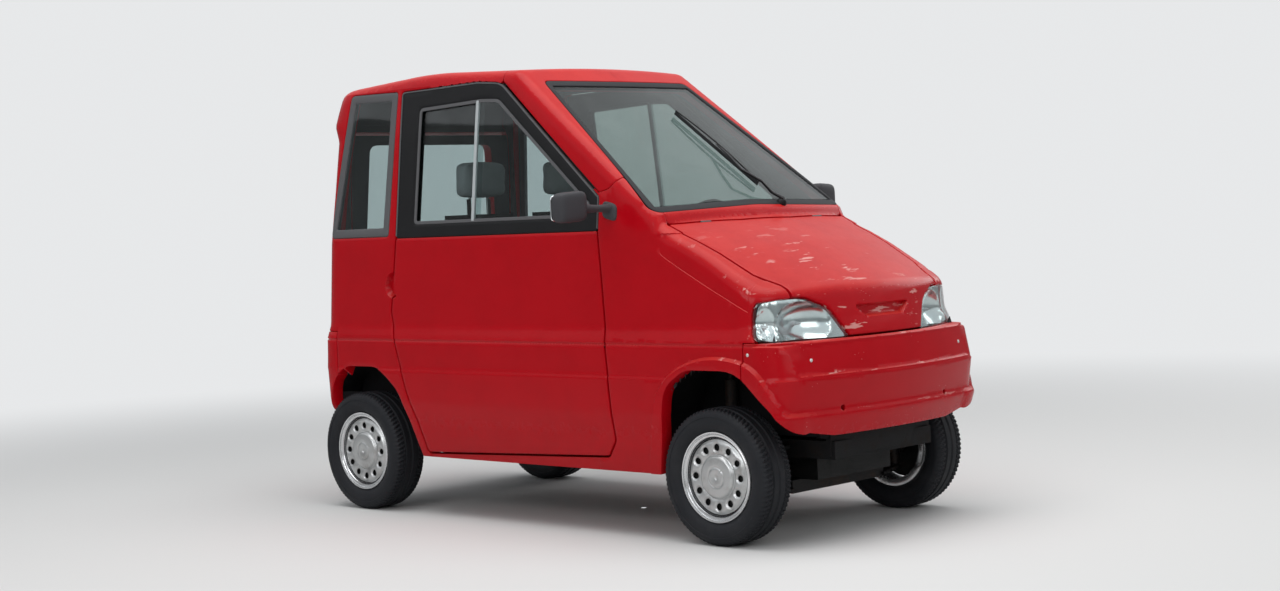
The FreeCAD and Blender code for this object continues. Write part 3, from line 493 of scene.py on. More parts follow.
def cast(chart, u, v, inset, far=2.4, halvings=11):
    """Where the ray of each (u, v) leaves the skin moved inwards by inset, by halving and then
    two straight-line steps; outside is true where the ray starts outside."""
    if isinstance(chart, Dish):
        return chart.points(u, v), np.hypot(u, v) > chart.radius
    start, way = chart.rays(u, v)
    low = np.zeros(u.shape)
    high = np.full(u.shape, far)
    f_low = skin(start) + inset
    outside = f_low > 0
    f_high = np.full(u.shape, 1.0)
    for _ in range(halvings):
        middle = 0.5 * (low + high)
        f = skin(start + middle[..., None] * way) + inset
        inner = f < 0
        low, f_low = np.where(inner, middle, low), np.where(inner, f, f_low)
        high, f_high = np.where(inner, high, middle), np.where(inner, f_high, f)
    slope = (f_high - f_low) / (high - low)
    slope = np.where(np.abs(slope) < 0.05, 0.05, slope)
    t = low - f_low / slope
    for _ in range(2):
        t = np.clip(t - (skin(start + t[..., None] * way) + inset) / slope, low, high)
    return start + t[..., None] * way, outside


def normals_at(p, chart=None):
    """Unit gradient of the skin's field by central differences."""
    if isinstance(chart, Dish):
        return chart.normals(p)
    step = 0.0006
    grad = np.stack([
        skin(p + np.array(way) * step) - skin(p - np.array(way) * step)
        for way in ((1, 0, 0), (0, 1, 0), (0, 0, 1))
    ], axis=-1)
    return grad / np.maximum(np.linalg.norm(grad, axis=-1, keepdims=True), 1e-9)


def surface_distance(field, p, normal):
    """A field's value over the size of its gradient within the skin: about the distance along it."""
    helper = np.where(np.abs(normal[..., 2:3]) < 0.8, np.array((0.0, 0.0, 1.0)), np.array((1.0, 0.0, 0.0)))
    first = np.cross(normal, helper)
    first /= np.linalg.norm(first, axis=-1, keepdims=True)
    second = np.cross(normal, first)
    step = 0.001
    here = field(p)
    slope = np.hypot((field(p + first * step) - here) / step, (field(p + second * step) - here) / step)
    return here / np.maximum(slope, 0.25)


def contour(value, us, vs, level):
    """Segments of the line value = level on a grid, by straight interpolation along cell edges.
    Returns the (u, v) points and the pairs of points."""
    f = value - level
    rows, columns = f.shape
    ids = np.full((2, rows, columns), -1)
    points = []
    for axis in (0, 1):
        a = f[:-1, :] if axis == 0 else f[:, :-1]
        b = f[1:, :] if axis == 0 else f[:, 1:]
        i, j = np.nonzero((a < 0) != (b < 0))
        t = a[i, j] / (a[i, j] - b[i, j])
        ids[axis, i, j] = len(np.concatenate(points)) + np.arange(len(i)) if points else np.arange(len(i))
        u = us[i] + (t * (us[1] - us[0]) if axis == 0 else 0.0)
        v = vs[j] + (t * (vs[1] - vs[0]) if axis == 1 else 0.0)
        points.append(np.stack([u, v], axis=1))
    low, high = ids[0, :-1, :-1], ids[0, :-1, 1:]
    left, right = ids[1, :-1, :-1], ids[1, 1:, :-1]
    four = np.stack([low, right, high, left], axis=-1).reshape(-1, 4)
    count = (four >= 0).sum(axis=1)
    two = four[count == 2]
    pairs = np.sort(two, axis=1)[:, 2:]
    crossed = four[count == 4]
    pairs = np.concatenate([pairs, crossed[:, :2], crossed[:, 2:]])
    return np.concatenate(points), pairs


# Regions: each is a field of points p that is negative inside; drawn ones take corners in
# millimetres of the side view (x, z), the front view (-y, z) or the plan (x, y).
def side(points):
    outline = drawn(points)
    return lambda p: signed(outline, p[..., 0], p[..., 2])


def front(points):
    outline = drawn(points, 0.0)
    return lambda p: signed(outline, -p[..., 1], p[..., 2])


def plan(points):
    outline = drawn(points)
    return lambda p: signed(outline, p[..., 0], p[..., 1])


def aside(half, gap=0.0):
    """Nearer to the car's middle plane than half and a gap."""
    return lambda p: np.abs(p[..., 1]) - half - gap


def above(axis, value):
    return lambda p: value - p[..., axis]


def below(axis, value):
    return lambda p: p[..., axis] - value


def outside_of(field, gap=0.0):
    return lambda p: gap - field(p)


def within(*fields):
    return lambda p: np.max([field(p) for field in fields], axis=0)


def either(*fields):
    return lambda p: np.min([field(p) for field in fields], axis=0)


def both_sides(field):
    return either(field, lambda p: field(p * (1, -1, 1)))


def sheet_of(chart, region, inset=0.0, rows=(), step=0.005, coarse=0.016, edge=0.003, plain=None):
    """Triangulated piece of the skin where the region's field is negative. Contours of the field at
    the border and just inside it, and rows beside the creases, are edges of the triangles; the
    border is rounded inwards over the width edge, except along the field plain."""
    (u0, u1), (v0, v1) = chart.reach
    us, vs = np.arange(u0, u1, 0.02), np.arange(v0, v1, 0.02)
    u, v = np.meshgrid(us, vs, indexing="ij")
    p, outside = cast(chart, u, v, inset, halvings=8)
    i, j = np.nonzero((region(p) < 0.01) & ~outside)
    us = np.arange(us[i.min()] - 0.03, us[i.max()] + 0.03, step)
    vs = np.arange(vs[j.min()] - 0.03, vs[j.max()] + 0.03, step)
    u, v = np.meshgrid(us, vs, indexing="ij")
    p, outside = cast(chart, u, v, inset)
    normal = normals_at(p, chart)
    whole = (lambda q: np.maximum(region(q), plain(q))) if plain else region
    border = np.where(outside, 0.05, whole(p))
    near = surface_distance(region, p, normal)
    near = np.where(outside, 0.05, near)
    points, pairs, total = [], [], 0
    lines = [(border, 0.0)] + [(near, -share * edge) for share in (0.35, 1.0) if edge]
    lines += [(field(p), offset) for field, offset in rows]
    for value, level in lines:
        found, joined = contour(value, us, vs, level)
        if value is not border and len(found):
            keep = border_at(border, us, vs, found) < -0.0005
            renumber = np.cumsum(keep) - 1
            joined = joined[keep[joined].all(axis=1)]
            joined = renumber[joined]
            found = found[keep]
        if len(found):
            points.append(found)
            pairs.append(joined + total)
            total += len(found)
    skip = max(1, int(round(coarse / step)))
    inner = (border < -0.6 * coarse * 0.5)[::skip, ::skip]
    points.append(np.stack([u[::skip, ::skip][inner], v[::skip, ::skip][inner]], axis=1))
    flat = np.concatenate(points)
    made = delaunay_2d_cdt([Vector(q) for q in flat], np.concatenate(pairs).tolist(), [], 0, 1e-6)
    uv = np.array([tuple(q) for q in made[0]])
    triangles = np.array(made[2])
    middle = uv[triangles].mean(axis=1)
    keep = border_at(border, us, vs, middle) < 0
    triangles = triangles[keep]
    used, triangles = np.unique(triangles, return_inverse=True)
    triangles = triangles.reshape(-1, 3)
    uv = uv[used]
    p, _ = cast(chart, uv[:, 0], uv[:, 1], inset)
    normal = normals_at(p, chart)
    if edge:
        depth = np.clip(edge + surface_distance(region, p, normal), 0.0, edge)
        p = p - normal * (edge - np.sqrt(np.maximum(edge ** 2 - depth ** 2, 0.0)))[:, None] * 0.85
    across = np.cross(p[triangles[:, 1]] - p[triangles[:, 0]], p[triangles[:, 2]] - p[triangles[:, 0]])
    turned = (across * normal[triangles[:, 0]]).sum(axis=1) < 0
    triangles[turned] = triangles[turned][:, ::-1]
    return p, normal, triangles


def border_at(border, us, vs, points):
    """Value of a grid at points (u, v), straight between its four nearest."""
    a = np.clip((points[:, 0] - us[0]) / (us[1] - us[0]), 0, len(us) - 1.001)
    b = np.clip((points[:, 1] - vs[0]) / (vs[1] - vs[0]), 0, len(vs) - 1.001)
    i, j = a.astype(int), b.astype(int)
    s, t = a - i, b - j
    return (border[i, j] * (1 - s) * (1 - t) + border[i + 1, j] * s * (1 - t)
            + border[i, j + 1] * (1 - s) * t + border[i + 1, j + 1] * s * t)


def thick(sheet, depth):
    """Closed solid from a sheet: its back lies deeper along the normals, with a rim of quads
    between. Returns points, faces and 0, 1 or 2 for each face that is front, back or rim."""
    p, normal, triangles = sheet
    count = len(p)
    edges = np.concatenate([triangles[:, [0, 1]], triangles[:, [1, 2]], triangles[:, [2, 0]]])
    keys = edges.min(axis=1) * count + edges.max(axis=1)
    _, index, times = np.unique(keys, return_index=True, return_counts=True)
    rim = edges[index[times == 1]]
    sides = np.stack([rim[:, 1], rim[:, 0], rim[:, 0] + count, rim[:, 1] + count], axis=1)
    faces = [list(t) for t in triangles.tolist()] + [list(t) for t in (triangles[:, ::-1] + count).tolist()]
    faces += [list(t) for t in sides.tolist()]
    kind = np.repeat([0, 1, 2], [len(triangles), len(triangles), len(sides)])
    return np.concatenate([p, p - normal * depth]), faces, kind


PANEL_SHARP = 38.0


def fitted(made, body, node=None):
    """Puts a finished piece on its body, in place of a solid where node names one."""
    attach(made, body)
    if node:
        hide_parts(node)
    return made


def panel(name, chart, region, depth, body, slot, materials, nodes=None, kinds=(0, 1, 0), **how):
    """A solid panel in place of a node; for a pair of bodies, a right panel and its left mirror."""
    points, faces, kind = thick(sheet_of(chart, region, **how), depth)
    kind = np.array(kinds)[kind]
    if isinstance(body, str):
        return fitted(mesh_object(name, points, faces, materials, kind, PANEL_SHARP), body, nodes)
    turned = [face[::-1] for face in faces]
    right_node, left_node = nodes or (None, None)
    right = mesh_object(name + "_right", points, faces, materials, kind, PANEL_SHARP)
    left = mesh_object(name + "_left", points * (1, -1, 1), turned, materials, kind, PANEL_SHARP)
    fitted(right, body[0], right_node)
    fitted(left, body[1], left_node)


# Paint: old red gloss, paler where the sun has bleached the upward faces, scratched and chipped
# to a pale undercoat on the bonnet and nose, and duller low down.
def paint_finish():
    paint = Finish("aged_red_paint")
    normal = paint.node("ShaderNodeNewGeometry", {}, {}, "Normal")
    upward = Wire(paint, paint.node("ShaderNodeSeparateXYZ", {}, {"Vector": normal}, None).outputs[2])
    patches = paint.noise(3.2, 5.0, 0.6)
    fine = paint.noise(48.0, 3.0, 0.6)
    bleached = (upward + (patches - 0.5) * 0.55).step(0.25, 1.0)
    body = paint.mixed(bleached, (0.44, 0.0016, 0.007), (0.52, 0.022, 0.018))
    mottled = (paint.noise(9.0, 4.0, 0.65)).step(0.35, 0.75)
    body = paint.mixed(mottled * 0.30, body, (0.34, 0.001, 0.005))
    low = (paint.z + (fine - 0.5) * 0.25).step(0.42, 0.20)
    body = paint.mixed(low * 0.30, body, (0.26, 0.012, 0.013))
    streaks = paint.noise(42.0, 3.0, 0.6, (1.0, 0.20, 1.0)).step(0.60, 0.66)
    worn = paint.noise(5.5, 2.0, 0.5).step(0.48, 0.58) * (paint.x.step(0.66, 0.95)) * upward.step(0.25, 0.5)
    nose = paint.x.step(1.06, 1.12) * paint.z.step(0.68, 0.70) * paint.noise(7.0, 2.0, 0.5).step(0.42, 0.55)
    scratch = streaks * worn.math("MAXIMUM", nose)
    chips = paint.node("ShaderNodeTexVoronoi", {}, {"Vector": paint.place, "Scale": 70.0}, 0).step(0.10, 0.06)
    chips = chips * paint.noise(6.0, 2.0, 0.5).step(0.52, 0.60) * paint.x.step(1.0, 1.12)
    marks = scratch.math("MAXIMUM", chips)
    colour = paint.mixed(marks * 0.75, body, (0.72, 0.36, 0.33))
    rough = 0.24 + bleached * 0.14 + (fine - 0.5) * 0.08 + marks * 0.3 + low * 0.2
    ripple = paint.bump(paint.noise(7.0, 2.0, 0.5) + fine * 0.02, 0.10, 0.01)
    return paint.surface(Base_Color=colour, Roughness=rough, Normal=ripple,
                         Coat_Weight=0.10 - bleached * 0.07, Coat_Roughness=0.08, IOR=1.22)


def plain_finish(name, colour, rough, grain=0.0, grain_scale=400.0, worn=None, metallic=0.0, mottle=0.25):
    """Moulded, cast or rolled surface: a colour that drifts a little, with grain in the bump and
    the wear of its high patches."""
    made = Finish(name)
    drift = made.noise(6.0, 4.0, 0.6)
    grains = made.noise(grain_scale, 2.0, 0.5)
    pale = worn or tuple(min(1.0, c * 1.6 + 0.02) for c in colour)
    shade = made.mixed((drift - 0.35) * mottle + (grains - 0.5) * 0.3 * mottle, colour, pale)
    roughness = rough + (drift - 0.5) * 0.18 + (grains - 0.5) * 0.06
    return made.surface(Base_Color=shade, Roughness=roughness, Metallic=metallic, IOR=1.30,
                        Normal=made.bump(grains, grain, 0.001))


paint = paint_finish()
BOTH_DOORS = ("right_door", "left_door")
BOTH_SIDES = ("body", "body")
lining = plain_finish("felt_lining", (0.055, 0.055, 0.06), 0.85, 0.5, 260.0)
rubber = plain_finish("black_rubber", (0.016, 0.016, 0.018), 0.6, 0.25, 500.0, (0.05, 0.05, 0.052))
seal_rubber = plain_finish("grey_rubber", (0.10, 0.10, 0.105), 0.65, 0.3, 420.0, (0.17, 0.17, 0.17))
frame_black = plain_finish("black_window_frame", (0.006, 0.006, 0.007), 0.42, 0.15, 700.0, (0.02, 0.02, 0.02))
trim_plastic = plain_finish("grey_moulded_plastic", (0.045, 0.045, 0.05), 0.55, 0.5, 600.0,
                            (0.10, 0.10, 0.10))

# Doors: right and left panel, one flat-sided pressing with the belt ledge and a low crease.
DOOR_OUTLINE = [
    (-759, 1052), (-796, 769, 60), (-770, 655, 160), (-716, 481, 300), (-612, 243, 18),
    (348, 276, 18), (384, 330, 30), (366, 560, 300), (337, 894, 600), (322, 1052),
]
WINDOW_FRAME = [
    (-759, 1052, 6), (-759, 1604, 14), (-330, 1611, 200), (-205, 1600, 90), (322, 1168, 8), (322, 1052, 6),
]
WINDOW_HOLE = [
    (-662, 1102, 20), (-656, 1540, 24), (-312, 1552, 60), (-212, 1546, 70), (284, 1148, 14), (262, 1102, 12),
]
WALL = 0.045
DOOR_GAP = 0.0075
right_side = below(1, 0.0)
door_field = side(DOOR_OUTLINE)
frame_field = side(WINDOW_FRAME)
hole_field = side(WINDOW_HOLE)
side_chart = Flat((-0.2, -0.38, 0.8), (0, -1, 0))
ledge = lambda p: p[..., 2] - LEDGE_Z
crease = lambda p: p[..., 2] - LOW_CREASE_Z
side_rows = [(ledge, -LEDGE_HALF), (ledge, 0.0), (ledge, LEDGE_HALF), (crease, -0.006), (crease, 0.0)]
BIG_EDGE = 0.0045
painted = {"slot": "paint", "materials": [paint, lining]}
panel("door_panel", side_chart, door_field, WALL, BOTH_DOORS, nodes=("door_right", "door_left"),
      rows=side_rows, edge=BIG_EDGE, **painted)

# Front wings: from the door to the lamp, with the flared lip round the wheel arch and the
# crease that runs from the screen pillar to the lamp.
REAR_ARCH = [
    (-1300, 150), (-1228, 340), (-1150, 515, 110), (-1075, 560, 90), (-880, 560, 130), (-765, 470, 160),
    (-640, 205), (-640, 150),
]
FRONT_ARCH = [
    (597, 150), (597, 205), (640, 520, 110), (740, 582, 110), (960, 582, 160), (1090, 460, 200), (1170, 350),
    (1300, 150),
]
SCREEN_STRIP = [
    (-190, 1760), (-190, 1626), (-186, 1606), (328, 1186), (372, 1196), (470, 1275), (-90, 1760),
]
LAMP = [
    (200, 660), (205, 682, 20), (262, 770, 90), (352, 808, 90), (436, 808, 90), (545, 796), (545, 660),
]
LAMP_END = [(1290, 900), (1086, 850), (1013, 792, 60), (1013, 668, 70), (1290, 668)]
BONNET_PLAN = [
    (692, 0, 2600), (620, -466), (960, -436), (1040, -392), (1300, -392), (1300, 392), (1040, 392),
    (960, 436), (620, 466),
]
SILL_Z = 0.225
BUMPER_SEAM_X = 1.004
BONNET_GAP = 0.0085
front_arch = side(FRONT_ARCH)
rear_arch = side(REAR_ARCH)
strip_field = side(SCREEN_STRIP)
lamp_field = within(front(LAMP), side(LAMP_END), above(2, NOSE_Z))
bonnet_field = plan(BONNET_PLAN)
screen_field = front([(-502, 1106, 26), (-376, 1602, 30), (376, 1602, 30), (502, 1106, 26), (0, 1122, 900)])
cowl_zone = within(above(0, 0.554), below(0, 0.681), above(2, 1.030), above(1, -0.466))
bumper_zone_front = within(above(0, BUMPER_SEAM_X), below(2, NOSE_Z))
wing_field = within(
    above(0, 0.314), above(2, SILL_Z), below(1, -0.38),
    outside_of(door_field, DOOR_GAP), outside_of(frame_field, DOOR_GAP), outside_of(front_arch),
    outside_of(bonnet_field, BONNET_GAP), outside_of(cowl_zone), outside_of(lamp_field, 0.002),
    outside_of(bumper_zone_front, 0.003), outside_of(strip_field, 0.0015), outside_of(screen_field),
)
wing_chart = Star((0.72, -0.12, 0.55), -90.0)
flare_edge = lambda p: np.where(np.abs(p[..., 1]) > 0.4, signed(FLARE, p[..., 0], p[..., 2]), 0.1)
wing_edge = lambda p: np.where(p[..., 0] > 0.59, signed(WING_CREASE, p[..., 0], p[..., 2]), 0.1)
flare_rows = [(flare_edge, 0.004), (flare_edge, -0.006)]
crease_rows = [(wing_edge, 0.0012), (wing_edge, -0.0012)]
panel("front_wing_panel", wing_chart, wing_field, WALL, BOTH_SIDES,
      nodes=("front_wing_right", "front_wing_left"), rows=side_rows + flare_rows + crease_rows, **painted)

# Front bumper: one deep moulding that wraps both corners, with a shelf under the lamps, a
# groove along its lower third and two towing holes.
UNDERSIDE_Z = 0.357
holes = either(*[
    (lambda p, y=y: np.hypot(p[..., 1] - y, p[..., 2] - 0.446) - 0.009) for y in (-0.28, 0.28)
])
front_arch_both = within(front_arch, outside_of(aside(0.285)))
bumper_field = within(
    above(0, BUMPER_SEAM_X), above(2, UNDERSIDE_Z), below(2, NOSE_Z + 0.0004), outside_of(front_arch_both),
    outside_of(within(holes, above(0, 1.1))),
)
groove = lambda p: p[..., 2] - 0.437
hook_edge = lambda p: signed(CORNER_HOOK, p[..., 0], p[..., 2])
bumper_rows = [(groove, -0.008), (groove, 0.0), (groove, 0.010), (hook_edge, 0.001), (hook_edge, -0.004)]
panel("front_bumper_moulding", Star((0.86, 0.0, 0.50)), bumper_field, WALL, "body", nodes="front_bumper",
      rows=side_rows + flare_rows + bumper_rows, **painted)

# Bonnet: a crowned lid down to the bumper between the lamps, with a shallow recess in its nose.
lamp_both = both_sides(lamp_field)
recess_rim = lambda p: np.where(p[..., 0] > 1.05, signed(NOSE_RECESS, p[..., 1], p[..., 2]), 0.1)
bonnet_region = within(bonnet_field, above(2, NOSE_Z + 0.006), outside_of(lamp_both, 0.006))
panel("bonnet_lid_panel", Star((0.86, 0.0, 0.62), lying=True), bonnet_region, WALL, "bonnet_lid",
      nodes="bonnet", rows=[(recess_rim, 0.003), (recess_rim, -0.002), (recess_rim, -0.006)], **painted)

# Cowl: the painted strip between the bonnet and the foot of the screen.
cowl_field = within(cowl_zone, lambda p: p[..., 1] - 0.466, outside_of(bonnet_field, BONNET_GAP),
                    outside_of(screen_field), outside_of(strip_field))
COWL_WALL = 0.030
panel("cowl_strip", Star((0.35, 0.0, 0.62)), cowl_field, COWL_WALL, "body", nodes="cowl_panel", edge=0.002,
      step=0.004, coarse=0.006, **painted)

# Screen frame: header and both pillars in one pressing round the screen.
frame_both = both_sides(frame_field)
screen_frame_field = within(strip_field, outside_of(screen_field), outside_of(frame_both, DOOR_GAP),
                            above(2, 1.15))
panel("screen_surround", Star((0.0, 0.0, 0.95)), screen_frame_field, WALL, "body", nodes="screen_frame",
      step=0.004, coarse=0.008, **painted)

# Roof: crown panel, its rear lip turned down as a visor over the tailgate.
ROOF_SIDE_Z = 1.622
# half width, foot z, head z
TAILGATE = (0.425, 0.700, 1.446)
SHUT_GAP = 0.006
LID_GAP = 0.015
lid_zone = within(below(0, -1.086), aside(TAILGATE[0], SHUT_GAP))
visor_zone = within(lid_zone, above(2, TAILGATE[2] + LID_GAP), below(2, ROOF_SIDE_Z + 0.01))
ROOF_FRONT_X = -0.176
roof_zone = within(above(2, ROOF_SIDE_Z), below(0, ROOF_FRONT_X))
cant_zone = within(above(2, 1.575), below(2, ROOF_SIDE_Z + 0.005), above(0, -0.585), below(0, ROOF_FRONT_X),
                   outside_of(frame_both, DOOR_GAP))
panel("roof_crown", Star((-0.62, 0.0, 1.0), lying=True), either(roof_zone, visor_zone, cant_zone), WALL,
      "body", nodes="roof_panel", edge=0.0, coarse=0.010, **painted)

# Rear quarters: side, arch and rear pillars round the corner, in one piece each.
REAR_BUMPER_X = -1.116
QUARTER_HOLE = [(-1171, 1060, 22), (-1073, 1618, 26), (-788, 1612, 16), (-808, 1060, 16)]
quarter_hole = side(QUARTER_HOLE)
tailgate_zone = within(lid_zone, above(2, TAILGATE[1] - SHUT_GAP), below(2, TAILGATE[2] + LID_GAP))
tail_lamp_field = within(front([(508, 742, 16), (446, 742, 16), (440, 948, 16), (496, 948, 16)]),
                         below(0, -1.1))
rear_bumper_zone = within(below(0, REAR_BUMPER_X), below(2, TAILGATE[1] - SHUT_GAP))
quarter_cuts = within(
    below(0, -0.586), above(2, SILL_Z), below(1, -0.38), outside_of(door_field, DOOR_GAP),
    outside_of(frame_field, DOOR_GAP), outside_of(rear_arch), outside_of(quarter_hole),
    outside_of(tailgate_zone), outside_of(visor_zone), outside_of(tail_lamp_field, 0.001),
    outside_of(rear_bumper_zone, 0.002),
)
scoop_rim = lambda p: np.hypot(p[..., 0] - HANDLE_SCOOP[0], p[..., 2] - HANDLE_SCOOP[1]) - HANDLE_SCOOP[2]
scoop_rows = [(scoop_rim, 0.001), (scoop_rim, -0.005), (scoop_rim, -0.011)]
quarter_chart = Round((-0.86, -0.2, 0.0), -125.0)
panel("rear_quarter", quarter_chart, quarter_cuts, WALL, BOTH_SIDES, rows=side_rows + scoop_rows,
      edge=BIG_EDGE, nodes=("quarter_panel_right", "quarter_panel_left"), plain=below(2, ROOF_SIDE_Z),
      **painted)

# Rear bumper: under the tailgate, round both corners.
rear_arch_both = within(rear_arch, outside_of(aside(0.385)))
rear_bumper_field = within(rear_bumper_zone, above(2, UNDERSIDE_Z), outside_of(rear_arch_both))
panel("rear_bumper_moulding", Round((-0.80, 0.0, 0.0), 180.0), rear_bumper_field, WALL, "body",
      nodes="rear_bumper", rows=side_rows, **painted)

# Tailgate: deep pressing under the visor, with its window opening.
rear_window = front([(-352, 1020, 40), (-326, 1428, 40), (326, 1428, 40), (352, 1020, 40)])
tailgate_field = within(below(0, -1.0), aside(TAILGATE[0]), above(2, TAILGATE[1]), below(2, TAILGATE[2]),
                        outside_of(rear_window))
tailgate_chart = Flat((-1.0, 0.0, 1.05), (-1, 0, 0))
panel("tailgate_panel", tailgate_chart, tailgate_field, WALL, "tailgate_lid", nodes="tailgate", **painted)

# Window glass: one laminated screen, two quarter panes, the tailgate pane and two sliding panes
# in each door, all tinted a little grey-green.
def glass_finish(name, tint):
    """Thin clear pane: light goes straight through it, and more is mirrored at flat angles."""
    made = Finish(name)
    smudge = made.noise(5.0, 4.0, 0.6)
    clear = made.node("ShaderNodeBsdfTransparent", {}, {"Color": tint})
    mirror = made.node("ShaderNodeBsdfGlossy", {}, {"Color": (1.0, 1.0, 1.0), "Roughness": 0.03})
    facing = made.node("ShaderNodeLayerWeight", {}, {"Blend": 0.5}, 1)
    share = facing ** 5.0 * 0.9 + smudge.step(0.45, 0.8) * 0.02 + 0.035
    both = made.node("ShaderNodeMixShader", {}, {0: share, 1: clear, 2: mirror})
    made.node("ShaderNodeOutputMaterial", {}, {"Surface": both}, None)
    return made.material


window_glass = glass_finish("tinted_window_glass", (0.78, 0.83, 0.83))
screen_laminate = glass_finish("laminated_screen_glass", (0.56, 0.62, 0.60))
GLASS_T = 0.005
GLASS_DEPTH = 0.003
SEAL_W = 0.034
SCREEN_SEAL_W = 0.6 * SEAL_W
PANE_OVERLAP = (-0.316, -0.286)
glazed = {"slot": "glass", "kinds": (0, 0, 0), "edge": 0.0, "coarse": 0.05, "step": 0.01}
screen_zone = within(above(0, -0.186), above(2, 1.0))
screen_chart = Flat((0.0, 0.0, 0.95), (0.6, 0.0, 0.8))
screen_pane = within(lambda p: screen_field(p) + SCREEN_SEAL_W, screen_zone)
panel("screen_pane", screen_chart, screen_pane, GLASS_T, "body", nodes="fixed_glass", inset=GLASS_DEPTH,
      materials=[screen_laminate], **glazed)
glazed["materials"] = [window_glass]
quarter_pane = within(lambda p: quarter_hole(p) + SEAL_W, right_side)
panel("quarter_pane", quarter_chart, quarter_pane, GLASS_T, BOTH_SIDES, inset=GLASS_DEPTH, **glazed)
panel("tailgate_pane", tailgate_chart, within(rear_window, below(0, -1.0)), GLASS_T, "tailgate_lid",
      nodes="tailgate_glass", inset=GLASS_DEPTH, **glazed)
panel("door_front_pane", side_chart, within(hole_field, above(0, PANE_OVERLAP[0])), GLASS_T, BOTH_DOORS,
      nodes=("door_glass_right", "door_glass_left"), inset=GLASS_DEPTH, **glazed)
panel("door_rear_pane", side_chart, within(hole_field, below(0, PANE_OVERLAP[1])), GLASS_T, BOTH_DOORS,
      inset=GLASS_DEPTH + 2 * GLASS_T, **glazed)

# Door window frames: black extruded frame with a grey outer seal, and the felt channels and
# upright edges of the sliding panes.
FRAME_DEPTH = 0.030
grey_seal = {"slot": "rubber", "materials": [seal_rubber], "kinds": (0, 0, 0)}
panel("window_frame_black", side_chart, within(frame_field, outside_of(hole_field)), FRAME_DEPTH, BOTH_DOORS,
      "dark_trim", [frame_black], ("window_frame_right", "window_frame_left"), (0, 0, 0), inset=0.002,
      edge=0.004)
outer_seal = within(lambda p: frame_field(p) - 0.0045, outside_of(frame_field, -0.001), above(2, 1.060),
                    below(1, -0.3))
panel("frame_seal", side_chart, outer_seal, 0.012, BOTH_DOORS, inset=-0.001, edge=0.002, step=0.004,
      **grey_seal)
channel = within(hole_field, outside_of(hole_field, -0.012))
panel("pane_channel", side_chart, channel, 0.004, BOTH_DOORS, inset=0.0022, edge=0.001, step=0.004,
      **grey_seal)
EDGE_STRIP = (PANE_OVERLAP[0] - 0.004, PANE_OVERLAP[0] + 0.010)
pane_edge = within(lambda p: hole_field(p) + 0.004, above(0, EDGE_STRIP[0]), below(0, EDGE_STRIP[1]))
edge_strip = plain_finish("pale_pane_edge", (0.42, 0.45, 0.46), 0.35, 0.1, 600.0)
panel("pane_edge", side_chart, pane_edge, 0.009, BOTH_DOORS, "dark_trim", [edge_strip], None, (0, 0, 0),
      inset=0.001, edge=0.001, step=0.004)

# Rubber seals round the fixed glass: a black one round the screen, thick grey ones round the
# quarter windows.
SEAL_DEPTH = 0.014
screen_band = within(screen_field, outside_of(screen_field, -SCREEN_SEAL_W), screen_zone)
panel("screen_seal", screen_chart, screen_band, SEAL_DEPTH, "body", "rubber", [rubber], "window_seals",
      (0, 0, 0), inset=-0.0015, edge=0.005)
quarter_band = within(quarter_hole, outside_of(quarter_hole, -SEAL_W), right_side)
panel("quarter_seal", quarter_chart, quarter_band, SEAL_DEPTH, BOTH_SIDES, inset=-0.002, edge=0.007,
      **grey_seal)

# Headlamps: clear moulded lens over a bright dished bowl, which has upright flutes at its outer end,
# one large and one small reflector and their bulbs.
lamp_chart = Star((0.84, -0.28, 0.60), -30.0)
lens_glass = glass_finish("lamp_lens_glass", (0.90, 0.93, 0.93))
panel("lamp_lens", lamp_chart, lamp_field, 0.004, BOTH_SIDES, "lamp_glass", [lens_glass],
      ("headlamp_lenses", None), (0, 0, 0), inset=0.001, edge=0.004, step=0.004, coarse=0.02)


def bright_finish():
    bright = Finish("bright_lamp_bowl")
    haze = bright.noise(14.0, 3.0, 0.6)
    colour = bright.mixed(haze.step(0.4, 0.8) * 0.5, (0.86, 0.88, 0.88), (0.62, 0.68, 0.70))
    return bright.surface(Base_Color=colour, Metallic=1.0, Roughness=0.10 + haze * 0.12)


bright = bright_finish()
# columns: place y, z in the front view, half width, half height, depth
REFLECTORS = ((-0.352, 0.726, 0.098, 0.072, 0.052), (-0.476, 0.722, 0.026, 0.058, 0.020))
FLUTE_DEPTH = 0.0026
FLUTE_PITCH = 0.022


def bowl_sheet():
    """The lamp's outline at 14 mm under the skin, dished by 1 - (r / R) squared round each bulb, with
    upright flutes over the outer reflector."""
    p, normal, triangles = sheet_of(lamp_chart, lambda q: lamp_field(q) + 0.003, inset=0.014, edge=0.0,
                                    step=0.004, coarse=0.006)
    depth = np.zeros(len(p))
    for y, z, half_y, half_z, deep in REFLECTORS:
        r2 = ((p[:, 1] - y) / half_y) ** 2 + ((p[:, 2] - z) / half_z) ** 2
        depth = np.maximum(depth, deep * np.maximum(1.0 - r2, 0.0) ** 0.8)
    at_end = smooth((-0.442 - p[:, 1]) / 0.012)
    flutes = FLUTE_DEPTH * np.abs(np.sin(p[:, 1] * 2 * np.pi / FLUTE_PITCH)) * at_end
    return p - (depth[:, None] * np.array((0.97, -0.05, 0.0))) - normal * flutes[:, None], normal, triangles


bowl_points, bowl_faces, _ = thick(bowl_sheet(), 0.003)
for name, sign, node in (("lamp_bowl_right", 1, "headlamp_bowls"), ("lamp_bowl_left", -1, None)):
    faces = bowl_faces if sign > 0 else [face[::-1] for face in bowl_faces]
    bowl = mesh_object(name, bowl_points * (1, sign, 1), faces, [bright], sharp=PANEL_SHARP)
    fitted(bowl, "body", node)


